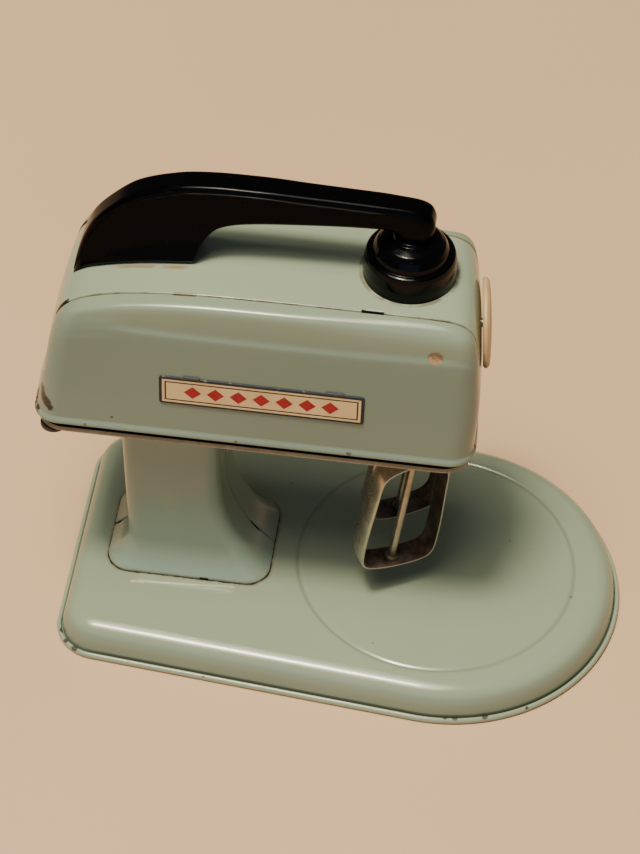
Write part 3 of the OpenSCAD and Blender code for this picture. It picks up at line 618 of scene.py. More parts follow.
def cream_plastic():
    s = Shade("cream_moulding")
    x, y, z = s.xyz()
    c = s.mix(s.step(s.noise(0.12, 3.0), 0.35, 0.7), (0.47, 0.31, 0.15), (0.54, 0.37, 0.185))
    brown = s.step(s.add(z, s.mul(s.sub(s.noise(0.25, 3.0), 0.5), 6.0)), 131.6, 127.0)
    c = s.mix(s.mul(brown, 0.85), c, (0.10, 0.075, 0.05))
    c = s.mix(s.mul(s.step(s.noise(0.9, 3.0, shift=3), 0.66, 0.74), 0.6), c, (0.14, 0.085, 0.04))
    c = s.mix(s.mul(s.mul(brown, s.step(s.noise(0.7, 2.0, shift=12), 0.58, 0.66)), 0.85), c, (0.012, 0.010, 0.008))
    rough = s.add(s.mul(s.noise(0.3, 2.0), 0.15), 0.34)
    nrm = s.bump(s.noise(0.6, 3.0), 0.00006, 0.4)
    return s.set(Base_Color=c, Roughness=rough, Subsurface_Weight=0.06, Normal=nrm)


def worn_metal(name, tone, dark, brown, rust, rough, metallic=0.85, seed=0.0, scale=1.0):
    """Old plated sheet or wire: stained tone, brown patches and a brushed, uneven shine."""
    s = Shade(name)
    c = s.mix(s.step(s.noise(0.11 * scale, 4.0, 0.6, shift=seed), 0.35, 0.7), tone, dark)
    r = s.mul(s.step(s.noise(0.2 * scale, 5.0, 0.65, shift=seed + 7), 0.62 - 0.25 * rust, 0.80 - 0.2 * rust), min(1.0, 0.4 + rust))
    c = s.mix(r, c, brown)
    c = s.mix(s.mul(s.step(s.noise(1.3 * scale, 2.0, shift=seed + 2), 0.66, 0.76), 0.55), c, dark)
    ro = s.add(s.add(s.mul(s.noise(0.5 * scale, 3.0, 0.6, shift=seed), 0.22), rough), s.mul(r, 0.22))
    me = s.m("MAXIMUM", s.sub(metallic, s.mul(r, 0.7)), 0.0)
    nrm = s.bump(s.noise(0.9 * scale, 3.0, 0.6, shift=seed), 0.00005, 0.4)
    return s.set(Base_Color=c, Roughness=ro, Metallic=me, Normal=nrm)


def pan_metal():
    s = Shade("bare_pan")
    x, y, z = s.xyz()
    c = s.mix(s.step(s.noise(0.09, 4.0, 0.6), 0.35, 0.7), (0.165, 0.148, 0.112), (0.115, 0.096, 0.068))
    c = s.mix(s.mul(s.step(s.noise(0.3, 4.0, 0.6, shift=6), 0.55, 0.72), 0.7), c, (0.055, 0.040, 0.028))
    c = s.mix(s.mul(s.step(s.add(z, s.mul(s.sub(s.noise(0.6, 3.0), 0.5), 1.2)), 91.3, 90.8), 0.75), c, (0.27, 0.245, 0.205))
    # painted shade: black on the wall above the flange, in the gap under the hood's hem
    c = s.mix(s.step(z, 92.5, 92.62), c, (0.008, 0.006, 0.005))
    rough = s.add(s.mul(s.noise(0.5, 3.0), 0.2), 0.42)
    nrm = s.bump(s.noise(0.5, 4.0), 0.0001, 0.4)
    return s.set(Base_Color=c, Roughness=rough, Metallic=0.15, Normal=nrm)


def beater_metal(name, seed):
    """Plated band: bright and stained outside, dark and rusted inside and at the bottom."""
    s = Shade(name)
    inner = s.attr("inner")
    edge = s.attr("edge")
    low = s.attr("low")
    c = s.mix(s.step(s.noise(0.07, 3.0, 0.55, shift=seed), 0.35, 0.7), (0.58, 0.53, 0.45), (0.44, 0.39, 0.32))
    c = s.mix(s.mul(s.step(s.noise(0.9, 2.0, shift=seed + 5), 0.70, 0.77), 0.45), c, (0.10, 0.065, 0.035))
    r = s.step(s.noise(0.2, 4.0, 0.6, shift=seed + 7), 0.30, 0.62)
    rust = s.most(s.mul(inner, s.add(s.mul(r, 0.15), 0.82)), s.mul(low, s.mul(r, 0.35)))
    brown = s.mix(s.mul(s.step(s.noise(0.3, 4.0, 0.6, shift=seed + 1), 0.4, 0.65), s.add(s.mul(low, 0.7), 0.3)), (0.022, 0.014, 0.010), (0.085, 0.046, 0.028))
    c = s.mix(rust, c, brown)
    c = s.mix(s.mul(edge, 0.8), c, (0.44, 0.40, 0.34))
    me = s.m("MAXIMUM", s.sub(0.92, s.mul(rust, 0.45)), 0.0)
    ro = s.add(s.add(s.mul(s.noise(0.3, 3.0, shift=seed), 0.12), 0.22), s.mul(rust, 0.10))
    nrm = s.bump(s.noise(0.3, 3.0, 0.55, shift=seed), 0.00008, 0.3)
    return s.set(Base_Color=c, Roughness=ro, Metallic=me, Normal=nrm)


def wire_metal():
    """Plated wire, dulled along its length, rusted at the lower end and darker towards the top end."""
    s = Shade("beater_wire")
    x, y, z = s.xyz()
    c = s.mix(s.step(s.noise(0.12, 4.0, 0.6), 0.35, 0.7), (0.44, 0.39, 0.32), (0.29, 0.245, 0.19))
    r = s.most(s.step(z, 35.0, 29.5), s.mul(s.step(z, 78.0, 86.0), 0.6))
    r = s.most(r, s.mul(s.step(s.noise(0.3, 4.0, 0.6, shift=5), 0.60, 0.72), 0.6))
    c = s.mix(s.mul(r, 0.85), c, (0.050, 0.032, 0.022))
    ro = s.add(s.add(s.mul(s.noise(0.5, 3.0), 0.15), 0.26), s.mul(r, 0.15))
    nrm = s.bump(s.noise(0.6, 3.0), 0.00005, 0.35)
    return s.set(Base_Color=c, Roughness=ro, Metallic=s.sub(0.9, s.mul(r, 0.5)), Normal=nrm)


def latch_metal():
    """Dark tab with a ring round its hole, and a pale centre painted in as lit floor seen through the hole."""
    s = Shade("latch_tin")
    x, y, z = s.xyz()
    c = s.mix(s.step(s.noise(0.3, 4.0, 0.6), 0.35, 0.7), (0.050, 0.040, 0.032), (0.024, 0.018, 0.014))
    dx, dy = s.add(x, 95.8), s.add(y, 23.4)
    r = s.m("SQRT", s.add(s.mul(dx, dx), s.mul(dy, dy)))
    r = s.add(r, s.mul(s.sub(s.noise(0.8, 3.0), 0.5), 0.9))
    c = s.mix(s.mul(s.step(r, 3.0, 2.6), 0.7), c, (0.012, 0.010, 0.008))
    # painted light: a pale centre standing in for the lit floor seen through the hole
    c = s.mix(s.mul(s.step(r, 1.7, 1.2), 0.9), c, (0.30, 0.25, 0.215))
    c = s.mix(s.mul(s.step(s.noise(0.5, 3.0, shift=4), 0.62, 0.70), 0.6), c, (0.16, 0.13, 0.105))
    ro = s.add(s.mul(s.noise(0.6, 3.0), 0.2), 0.42)
    nrm = s.bump(s.noise(0.7, 3.0), 0.00006, 0.4)
    return s.set(Base_Color=c, Roughness=ro, Metallic=0.3, Normal=nrm)


def label_print():
    """Cream plate with a dark edge, a fine dark line and a plain row of lozenges."""
    s = Shade("label_print")
    x, y, z = s.xyz()
    lx = s.m("ABSOLUTE", s.add(x, 24.8))
    lz = s.m("ABSOLUTE", s.sub(z, 115.8))
    # distance inside a rectangle with round corners
    qx = s.sub(lx, 34.0 - 1.2)
    qz = s.sub(lz, 6.15 - 1.2)
    hx = s.m("MAXIMUM", qx, 0.0)
    hz = s.m("MAXIMUM", qz, 0.0)
    out = s.m("SQRT", s.add(s.mul(hx, hx), s.mul(hz, hz)))
    d = s.sub(1.2, s.add(out, s.m("MINIMUM", s.m("MAXIMUM", qx, qz), 0.0)))
    navy = (0.010, 0.013, 0.022)
    c = s.mix(s.step(s.noise(0.1, 4.0), 0.35, 0.7), (0.60, 0.43, 0.23), (0.67, 0.49, 0.265))
    c = s.mix(s.mul(s.step(s.noise(0.9, 3.0, shift=4), 0.62, 0.72), 0.3), c, (0.28, 0.185, 0.09))
    # lozenges at an even pitch
    pitch = 7.6
    k = s.m("WRAP", s.add(x, 24.8), pitch / 2)
    n = k.node
    n.inputs[2].default_value = -pitch / 2
    loz = s.add(s.mul(s.m("ABSOLUTE", k), 1 / 2.95), s.mul(lz, 1 / 2.75))
    red = s.mul(s.step(loz, 1.03, 0.97), s.step(lx, 26.7, 26.5))
    c = s.mix(red, c, s.mix(s.step(s.noise(0.5, 3.0, shift=2), 0.4, 0.7), (0.31, 0.004, 0.016), (0.25, 0.003, 0.012)))
    line = s.mul(s.step(d, 1.85, 1.95), s.step(d, 2.50, 2.40))
    c = s.mix(line, c, navy)
    c = s.mix(s.step(d, 1.12, 1.0), c, navy)
    scuff = s.mul(s.step(d, 0.7, 0.2), s.step(s.noise(0.5, 3.0, shift=12), 0.58, 0.68))
    c = s.mix(s.mul(scuff, 0.6), c, (0.17, 0.16, 0.12))
    rough = s.add(s.add(s.mul(s.noise(0.4, 3.0), 0.15), 0.30), s.mul(s.step(d, 1.1, 0.7), 0.25))
    return s.set(Base_Color=c, Roughness=rough, Specular_IOR_Level=0.3, Coat_Weight=0.06, Coat_Roughness=0.2)


def plain(name, a, b, rough, metallic=0.0, scale=0.2, seed=0.0):
    """Moulding, insulation or fibre with an uneven tone."""
    s = Shade(name)
    c = s.mix(s.step(s.noise(scale, 4.0, 0.6, shift=seed), 0.3, 0.7), a, b)
    c = s.mix(s.mul(s.step(s.noise(scale * 6, 2.0, shift=seed + 4), 0.64, 0.74), 0.4), c, tuple(0.4 * v for v in a))
    ro = s.add(s.mul(s.noise(scale * 2, 3.0, shift=seed), 0.2), rough)
    nrm = s.bump(s.noise(scale * 5, 3.0, shift=seed), 0.00004, 0.4)
    return s.set(Base_Color=c, Roughness=ro, Metallic=metallic, Normal=nrm)


STEEL = worn_metal("plain_steel", (0.56, 0.54, 0.50), (0.34, 0.31, 0.27), (0.20, 0.11, 0.05), 0.25, 0.28)
DARK = worn_metal("dark_tin", (0.070, 0.056, 0.045), (0.034, 0.026, 0.020), (0.095, 0.050, 0.026), 0.6, 0.40, 0.6, 3.0)
BRASS = worn_metal("brass", (0.60, 0.43, 0.18), (0.36, 0.24, 0.09), (0.16, 0.10, 0.04), 0.3, 0.28, 0.9, 5.0)
COPPER = worn_metal("winding", (0.48, 0.22, 0.10), (0.30, 0.12, 0.05), (0.14, 0.06, 0.03), 0.2, 0.32, 0.8, 6.0)
SHAFT = wire_metal()
LATCH = latch_metal()
CLIP = plain("clip_paint", (0.022, 0.024, 0.030), (0.040, 0.042, 0.048), 0.45, 0.0, 0.3, 9.0)
PAN = pan_metal()
BLACK = black_plastic("black_moulding", 0.055)
TURNED = black_plastic("black_turning", 0.14)
CREAM = cream_plastic()
LABEL = label_print()

CAD_LOOKS = {
    "bare_tin": PAN,
    "dark_tin": DARK,
    "plain_steel": STEEL,
    "beater_steel": SHAFT,
    "brass": BRASS,
    "copper": COPPER,
    "magnet": plain("ferrite", (0.030, 0.030, 0.034), (0.050, 0.048, 0.050), 0.55, 0.0, 0.3, 1.0),
    "phenolic": plain("fibre_board", (0.19, 0.085, 0.035), (0.26, 0.125, 0.055), 0.5, 0.0, 0.25, 2.0),
    "gear_plastic": plain("ivory_moulding", (0.66, 0.58, 0.42), (0.74, 0.67, 0.52), 0.36, 0.0, 0.2, 3.0),
    "cell_jacket": plain("cell_jacket", (0.26, 0.030, 0.022), (0.32, 0.045, 0.030), 0.38, 0.0, 0.1, 4.0),
    "wire_red": plain("wire_red", (0.22, 0.018, 0.014), (0.30, 0.028, 0.020), 0.45, 0.0, 0.4, 5.0),
    "wire_black": plain("wire_black", (0.014, 0.014, 0.014), (0.026, 0.025, 0.024), 0.45, 0.0, 0.4, 6.0),
    "mint_paint": mint("mint_plain"),
    "black_plastic": BLACK,
    "cream_plastic": CREAM,
    "label_print": LABEL,
}
for row in frame["record"]["subparts"]:
    ob = frame["nodes"][row["node"]]
    look = LATCH if row["node"] == "latch_tab" else CAD_LOOKS[row["material_slot"]]
    if ob.data.materials:
        for k in range(len(ob.data.materials)):
            ob.data.materials[k] = look
    else:
        ob.data.materials.append(look)


# ---------- base ----------

BT = math.radians(5.2)
SIDE_N = np.array([-math.sin(BT), math.cos(BT)])
CORNER_X = -79.5
CORNER_Y = (-math.sin(BT) * 40 + 63.6 - 16 + math.sin(BT) * CORNER_X) / math.cos(BT)


def base_rim(nf=150, ns=46, nc=26, nr=24):
    """Points of the base's rim and their outward directions, counter-clockwise."""
    p, n = [], []

    def arc(cx, cy, r, a0, a1, k):
        for a in np.linspace(a0, a1, k):
            d = np.array([math.cos(a), math.sin(a)])
            p.append(np.array([cx, cy]) + r * d)
            n.append(d)

    def line(a, b, d, k):
        for t in np.linspace(0, 1, k + 2)[1:-1]:
            p.append(a + (b - a) * t)
            n.append(d)

    h = math.pi / 2
    low = np.array([SIDE_N[0], -SIDE_N[1]])
    arc(40, 0, 63.6, -h - BT, h + BT, nf)
    line(p[-1], np.array([CORNER_X, CORNER_Y]) + 16 * SIDE_N, SIDE_N, ns)
    arc(CORNER_X, CORNER_Y, 16, h + BT, math.pi, nc)
    line(p[-1], np.array([-95.5, -CORNER_Y]), np.array([-1.0, 0.0]), nr)
    arc(CORNER_X, -CORNER_Y, 16, math.pi, 3 * h - BT, nc)
    line(p[-1], p[0], low, ns)
    return np.array(p), np.array(n)


RIM_P, RIM_N = base_rim()


def rim_ring(d, z):
    q = RIM_P - (d + 0.01) * RIM_N
    return np.column_stack([q, np.full(len(q), z)])


shell_c = Curve([(11.5, 12.8), (9.4, 12.7), (7.2, 12.1), (5.3, 11.0), (3.8, 9.3), (2.8, 7.0), (2.3, 4.6), (2.05, 2.4), (2.0, 0.8)], steady)
shell_u = np.linspace(0, 1, 34)
shell_q = shell_c.at(shell_u)
shell_n = shell_c.left(shell_u)
ring_c = np.array([36.4, 0.0])
inset = RIM_P - 11.5 * RIM_N
ray = inset - ring_c
reach = np.linalg.norm(ray, axis=1)
ray = ray / reach[:, None]
outer_rows = []
radii = [10, 20, 30, 38, 44, 47, 47.9, 48.5, 48.9, 49.2, 49.5, 49.75, 50.0, 50.25, 50.5, 50.8, 51.1, 51.5, 52.0]
for r in radii:
    q = ring_c + r * ray
    outer_rows.append(np.column_stack([q, np.full(len(q), 12.8 - 0.5 * math.exp(-(((r - 50) / 0.75) ** 2)))]))
for f in (0.06, 0.14, 0.24, 0.36, 0.48, 0.6, 0.72, 0.82, 0.9, 0.96):
    q = ring_c + (52.0 + f * (reach - 52.0))[:, None] * ray
    outer_rows.append(np.column_stack([q, np.full(len(q), 12.8)]))
for d, z in shell_q:
    outer_rows.append(rim_ring(d, z))
outer_rows = np.array(outer_rows)
flat = outer_rows[:, :, 2] > 6
dip = 0.09 * (wob(outer_rows, 0.021, 3.1) - 0.6) + 0.035 * (wob(outer_rows, 0.055, 8.2) - 0.5)
outer_rows[:, :, 2] += np.where(flat, dip * smooth(outer_rows[:, :, 2], 6, 12), 0)
inner_rows = [rim_ring(q[0] + 0.6 * abs(n[0]), q[1] - 0.6 * abs(n[1])) for q, n in zip(shell_q[::-1], shell_n[::-1])]
for f in (0.7, 0.35, 0.1):
    q = ring_c + (f * reach)[:, None] * ray
    inner_rows.append(np.column_stack([q, np.full(len(q), 12.0)]))
shell = loft(np.concatenate([outer_rows, np.array(inner_rows)]), (36.4, 0, 12.72), (36.4, 0, 12.0))
# painted shade: the base is given a slightly darker tone
make("base_shell_visual", shell, "stand", mint("mint_base", base_marks, 1.0, (0.94, 0.94, 0.93)), ["base_shell"])

bead = [(2.9, 0.0), (1.6, 0.0)]
for k in range(15):
    # round the bead from underneath, outwards and over the top
    bead.append((0.85 - 0.85 * math.sin(math.radians(10 + 215 * k / 14)), 1.25 - 1.25 * math.cos(math.radians(10 + 215 * k / 14))))
bead += [(1.72, 1.5), (1.76, 0.75), (3.2, 0.7)]
plate_rows = [rim_ring(20, 0.0)] + [rim_ring(d, z) for d, z in bead] + [rim_ring(20, 0.7)]
plate_rows = np.array(plate_rows)
make("base_bottom_plate_visual", loft(plate_rows, (10, 0, 0.0), (10, 0, 0.7)), "stand", mint("mint_rim", rim_marks, 2.0), ["base_bottom_plate"])


# ---------- post ----------


def post_grid(d):
    zs = np.unique(np.concatenate([np.linspace(12.85, 16, 10), np.linspace(16, 30, 36), np.linspace(30, 60, 20), np.linspace(60, 90.6, 10)]))[::-1]
    rows = []
    for z in zs:
        zz = max(z, 13.6)
        ff = ((72 - zz) / 58.4) ** 3.4 if zz < 72 else 0.0
        fs = ((27 - zz) / 13.4) ** 2.2 if zz < 27 else 0.0
        x0 = -(74 + 6.9 * fs) - 1.5 * max(0.0, (zz - 30) / 60.6) + d
        x1 = -(40.8 - 18.4 * ff) - d
        h = 16.3 + 4.6 * fs - d
        r = 6 + 2.5 * fs - d
        gf = 0.42 * float(smooth(z, 18.9, 19.5) * smooth(z, 23.9, 23.2))
        gr = 0.42 * float(smooth(z, 12.8, 13.2) * smooth(z, 16.4, 15.8))
        # seam edge: rolled in, and cut back where there is a slot
        roll = [(0.75, 0.0), (0.48, 0.04), (0.28, 0.14), (0.14, 0.32), (0.07, 0.6)] if d == 0 else [(0.75, 0.0), (0.6, 0.02), (0.45, 0.06), (0.32, 0.12), (0.2, 0.2)]
        q = []
        for y, b in roll[::-1]:
            q.append((x0 + b, -(y + gr), z))
        for t in np.linspace(0.12, 1, 8)[:-1]:
            q.append((x0, -(0.75 + gr) * (1 - t) - (h - r) * t, z))
        for a in np.radians(np.linspace(0, 90, 17)):
            q.append((x0 + r - r * math.cos(a), -(h - r) - r * math.sin(a), z))
        for t in np.linspace(0, 1, 14)[1:-1]:
            q.append((x0 + r + (x1 - x0 - 2 * r) * t, -h, z))
        for a in np.radians(np.linspace(0, 90, 17)):
            q.append((x1 - r + r * math.sin(a), -(h - r) - r * math.cos(a), z))
        for t in np.linspace(0, 0.88, 8)[1:]:
            q.append((x1, -(h - r) * (1 - t) - (0.75 + gf) * t, z))
        for y, b in roll:
            q.append((x1 - b, -(y + gf), z))
        rows.append(q)
    return np.array(rows)


post_o = post_grid(0.0)
post_i = post_grid(0.6)
post_o[:, :, 1] += 0.10 * (wob(post_o, 0.035, 5.0) - 0.1) * smooth(-post_o[:, :, 1], 1.0, 8.0) * smooth(post_o[:, :, 2], 18, 30)
for side, body_side in (("near", 1), ("far", -1)):
    flip = np.array([1, body_side, 1])
    # painted shade: the post halves are given a darker, cooler tone
    make("post_%s_visual" % side, closed_sheet(post_o * flip, post_i * flip), "stand", mint("mint_post_" + side, post_marks, 3.0 + body_side, (0.88, 0.94, 1.04), 0.34), ["post_%s_half" % side])


# ---------- hood ----------

REAR = [(-101.9, 94.4), (-101.55, 97.0), (-100.9, 101.0), (-98.1, 117), (-94.3, 135.5), (-92.3, 140.2), (-89.6, 143.3)]
TOP = [(-86, 145.7), (-82, 147.4), (-77, 148.9), (-70, 150.4), (-60, 151.7), (-46, 152.7), (-30, 153.1), (-10, 153.3), (12, 153.3), (29, 153.1), (34.5, 152.3), (37.8, 150.6), (39.8, 148.2)]
NOSE = [(41.1, 144.5), (42.4, 137), (43.1, 128.5), (43.7, 120), (43.9, 109), (43.52, 98.0), (43.66, 94.4)]
WALL = Curve(REAR + TOP + NOSE)


def skewed(x, y):
    """The nose is turned a little towards the far side."""
    return x + smooth(x, 2, 40) * (0.7 - np.asarray(y) * math.tan(math.radians(5)))


U_REAR = WALL.knots[len(REAR) - 1]
U_NOSE = WALL.knots[len(REAR) + len(TOP) - 1]
bead_f = steady([-0.01, 0.05, 0.4, 0.9, 1.5, 2.2, 2.8, 3.2, 3.6], [0.3, 0.4, 0.78, 0.86, 0.78, 0.48, 0.13, 0.02, 0.0])


def bead_out(z, limit):
    h = np.asarray(z) - 94.4
    return np.where(h < 3.6, np.minimum(bead_f(h), limit), 0.0)


su = np.unique(np.concatenate([np.linspace(0, 1, 230), np.linspace(0, 0.018, 18), np.linspace(0.982, 1, 18), np.linspace(0.165, 0.215, 26), np.linspace(0.60, 0.68, 30)]))
wq = WALL.at(su)
wn = WALL.left(su)
gap = 0.78 * np.where(wq[:, 0] < -60, smooth(wq[:, 1], 136.4, 137.2) * smooth(wq[:, 1], 143.4, 142.6), smooth(wq[:, 0], 5.9, 6.6) * smooth(wq[:, 0], 13.2, 12.5) * (wq[:, 1] > 150))
ys = [20.35, 20.30, 20.18, 20.0, 19.75, 19.4, 18.6, 17.4, 15.5, 13, 10.5, 8, 5.5, 3, 1, 0]
roll = [-0.50, -0.32, -0.15, -0.06, -0.015, 0, 0, 0, 0, 0, 0, 0, 0, 0, 0, 0]
ys = ys + [-y for y in ys[-2::-1]]
roll = roll + roll[-2::-1]
strip = np.zeros((len(ys), len(su), 3))
bead_n = np.stack([np.where(wq[:, 0] < -60, -1.0, 1.0), np.zeros(len(su))], axis=1)
for j, (y, o) in enumerate(zip(ys, roll)):
    crown = 0.8 * (1 - (y / 20.35) ** 2)
    b = bead_out(wq[:, 1], 0.75)
    q = wq + (crown + o) * wn + b[:, None] * bead_n
    strip[j, :, 0] = q[:, 0]
    strip[j, :, 2] = q[:, 1]
    strip[j, :, 1] = y - np.sign(y) * gap * smooth(abs(y), 17, 20.2)
strip[:, :, 2] = np.maximum(strip[:, :, 2], 94.4)
strip[:, :, 0] = np.clip(strip[:, :, 0], -103.55, 45.15)
strip[:, :, 0] = skewed(strip[:, :, 0], np.array(ys)[:, None])
top_mask = smooth(strip[:, :, 2], 140, 150)
strip[:, :, 2] += top_mask * 0.07 * (wob(strip, 0.03, 2.2) - 0.7)
strip_in = strip - 0.6 * np.stack([np.tile(wn[:, 0], (len(ys), 1)), np.zeros((len(ys), len(su))), np.tile(wn[:, 1], (len(ys), 1))], axis=2)
strip_in[:, :, 2] = np.maximum(strip_in[:, :, 2], 94.4)
make("hood_top_strip_visual", closed_sheet(strip, strip_in), "hood", mint("mint_strip", strip_marks, 4.0), ["hood_top_strip"])

LOW = [(7.2, 137.2), (7.3, 134), (7.45, 124), (7.75, 109), (8.0, 99.2), (8.1, 94.4)]
PA = [(0, 153.1), (1.5, 152.75), (3, 152.3), (4.3, 151.75), (5, 151.2), (5.5, 150.4), (5.75, 149.3), (5.95, 147.5), (6.15, 144), (6.3, 141.5), (6.45, 140.2), (6.75, 139.2), (7.05, 138.4)] + LOW
PB = [(0, 153.1), (1.5, 152.7), (3, 151.9), (4.2, 150.8), (5, 149.5), (5.6, 147.6), (5.95, 145), (6.15, 142.5), (6.35, 140.6), (6.75, 139.3), (7.05, 138.4)] + LOW
PC = [(0, 153.1), (1.5, 152.75), (3, 152.3), (4.3, 151.75), (5, 151.2), (5.5, 150.4), (5.75, 149.3), (5.95, 147.5), (6.25, 144), (6.55, 141.5), (6.8, 139.5), (7.0, 138.1), (7.15, 136.2), (7.3, 134)] + LOW[2:]


def depth(prof):
    p = np.array(prof)[::-1]
    return steady(p[:, 1], p[:, 0])


DA, DB, DC = depth(PA), depth(PB), depth(PC)
zr = [153.1, 153.075, 153.04, 153.0, 152.95, 152.88, 152.8, 152.7, 152.58, 152.45, 152.3, 152.1, 151.9, 151.7, 151.45, 151.2, 150.9, 150.6, 150.3, 149.9, 149.4, 148.8, 148, 147, 146, 145, 144.2, 143.5, 142.9, 142.3, 141.8, 141.3, 140.9, 140.5, 140.2, 139.9, 139.6, 139.3, 139.0, 138.7, 138.4, 138.1, 137.7, 137.2, 136.5, 135.5, 134, 131.5, 128, 124, 119, 114, 109, 104, 100.5, 98.6, 98, 97.6, 97.3, 97, 96.7, 96.4, 96.1, 95.8, 95.5, 95.2, 94.95, 94.75, 94.6, 94.5, 94.4]
vr = (np.array(zr) - 94.4) / 58.7
ae = np.radians([0, 0.7, 1.5, 2.5, 4, 6, 9, 13, 18, 24, 31, 39, 48, 57, 66, 74, 82, 90])
uc = np.concatenate([0.056 * (1 - np.cos(ae)), np.linspace(0.056, 0.944, 74)[1:-1], 1 - 0.056 * (1 - np.cos(ae[::-1]))])
fc = np.concatenate([np.sin(ae), np.ones(72), np.sin(ae[::-1])])
side_c = np.concatenate([-np.cos(ae), np.zeros(72), np.cos(ae[::-1])])
pl = WALL.at(U_REAR * np.linspace(0, 1, 600))
pt = WALL.at(U_REAR + (U_NOSE - U_REAR) * uc)
pn = WALL.at(1 - (1 - U_NOSE) * np.linspace(0, 1, 600))
lv = np.stack([np.interp(vr, np.linspace(0, 1, 600), pl[:, k]) for k in (0, 1)], axis=1)
nv = np.stack([np.interp(vr, np.linspace(0, 1, 600), pn[:, k]) for k in (0, 1)], axis=1)
l0, n0, t0, t1 = pl[0], pn[0], pt[0], pt[-1]
V = vr[:, None, None]
U = uc[None, :, None]
flat_b = l0 + (n0 - l0) * U
P = (1 - V) * flat_b + V * pt[None] + (1 - U) * lv[:, None] + U * nv[:, None]
P = P - ((1 - U) * (1 - V) * l0 + U * (1 - V) * n0 + (1 - U) * V * t0 + U * V * t1)
X = P[:, :, 0]
zz = np.tile(np.array(zr)[:, None], (1, len(uc)))
# the ledge climbs towards both ends
lift = np.interp(X, [-80, -74, -66, -55, -40, -20, 10, 25, 36], [3.2, 3.0, 1.6, 0.6, 0.1, 0.0, 0.2, 0.8, 1.7])
zq = zz - lift * smooth(zz, 128, 137) * smooth(zz, 150.5, 144)
wc = np.maximum(smooth(X, -66, -79), smooth(X, 31, 38))
wb = smooth(X, -20, 26)
D = (1 - wc) * ((1 - wb) * DA(zq) + wb * DB(zq)) + wc * ((1 - wb) * DC(zq) + wb * (0.5 * DB(zq) + 0.5 * DC(zq)))
out_y = D * fc[None, :]
panel = np.stack([X, -20.45 - out_y, P[:, :, 1]], axis=2)
pn_ = grid_normals(panel)
if np.mean(pn_[:, :, 1]) > 0:
    pn_ = -pn_
b = bead_out(panel[:, :, 2], 0.86)
b = np.minimum(b, np.where(side_c[None, :] > 0.3, 0.75, 0.86))
panel[:, :, 0] += b * side_c[None, :]
panel[:, :, 1] -= b * fc[None, :]
# the seam edge dips in
seam = 0.5 * np.clip(1 - out_y / 0.55, 0, 1) ** 2
panel = panel - seam[:, :, None] * pn_
bulge = 0.10 * (wob(panel, 0.026, 6.0) - 0.1) * smooth(-panel[:, :, 1], 25, 27.3) * smooth(panel[:, :, 2], 97.6, 104)
panel[:, :, 1] += bulge
panel[:, :, 2] = np.maximum(panel[:, :, 2], 94.4)
panel[:, :, 1] = np.maximum(panel[:, :, 1], -29.38)
panel_in = panel - 0.6 * pn_
panel_in[:, :, 2] = np.maximum(panel_in[:, :, 2], 94.4)
for side, sgn in (("near", 1), ("far", -1)):
    flip = np.array([1, sgn, 1])
    po, pi_ = panel * flip, panel_in * flip
    po[:, :, 0] = skewed(po[:, :, 0], -20.4 * sgn)
    pi_[:, :, 0] = skewed(pi_[:, :, 0], -20.4 * sgn)
    # painted shade: the side panels are given a darker, cooler tone
    make("side_panel_%s_visual" % side, closed_sheet(po, pi_), "hood", mint("mint_panel_" + side, panel_marks, 6.0 + sgn, (0.81, 0.84, 0.85), 0.30), ["side_panel_" + side])

# label plate with a rolled edge and two bent clips
lab_o = []
for inset_d, y in ((0.0, -0.02), (0.0, 0.22), (0.12, 0.40), (0.36, 0.5), (0.9, 0.5), (1.5, 0.47), (3.0, 0.47)):
    w, h, r = 34 - inset_d, 6.15 - inset_d, max(0.25, 1.2 - inset_d)
    ring = []
    for cx, cz, a0 in ((w - r, h - r, 0), (-(w - r), h - r, 90), (-(w - r), -(h - r), 180), (w - r, -(h - r), 270)):
        for a in np.radians(np.linspace(a0, a0 + 90, 9)):
            ring.append((cx + r * math.cos(a), -y, cz + r * math.sin(a)))
    lab_o.append(ring)
label = loft(lab_o, (0, 0.02, 0), (0, -0.47, 0))
tilt = math.radians(-1.0)


def on_label(v):
    v = np.asarray(v, float)
    y = v[:, 1] * math.cos(tilt) - v[:, 2] * math.sin(tilt)
    z = v[:, 1] * math.sin(tilt) + v[:, 2] * math.cos(tilt)
    return np.column_stack([v[:, 0] - 24.8, y - 28.13, z + 115.8])


make("label_plate_visual", (on_label(label[0]), label[1]), "hood", LABEL, ["label_plate"])
clips = []
for cx, w in ((-23.2, 5.4), (24.2, 6.0)):
    v, f = rounded_box((w, 0.7, 1.1), 0.25)
    v = v + np.array([cx, -0.25, 6.3])
    clips.append((on_label(v), f))
make("label_clips", join(*clips), "hood", CLIP, ["label_plate"])


# ---------- handle ----------


def top_z(x):
    k = (WALL.q[:, 0] > -90) & (WALL.q[:, 0] < 39.8) & (WALL.q[:, 1] > 140)
    return float(np.interp(x, WALL.q[k, 0], WALL.q[k, 1])) + 0.8


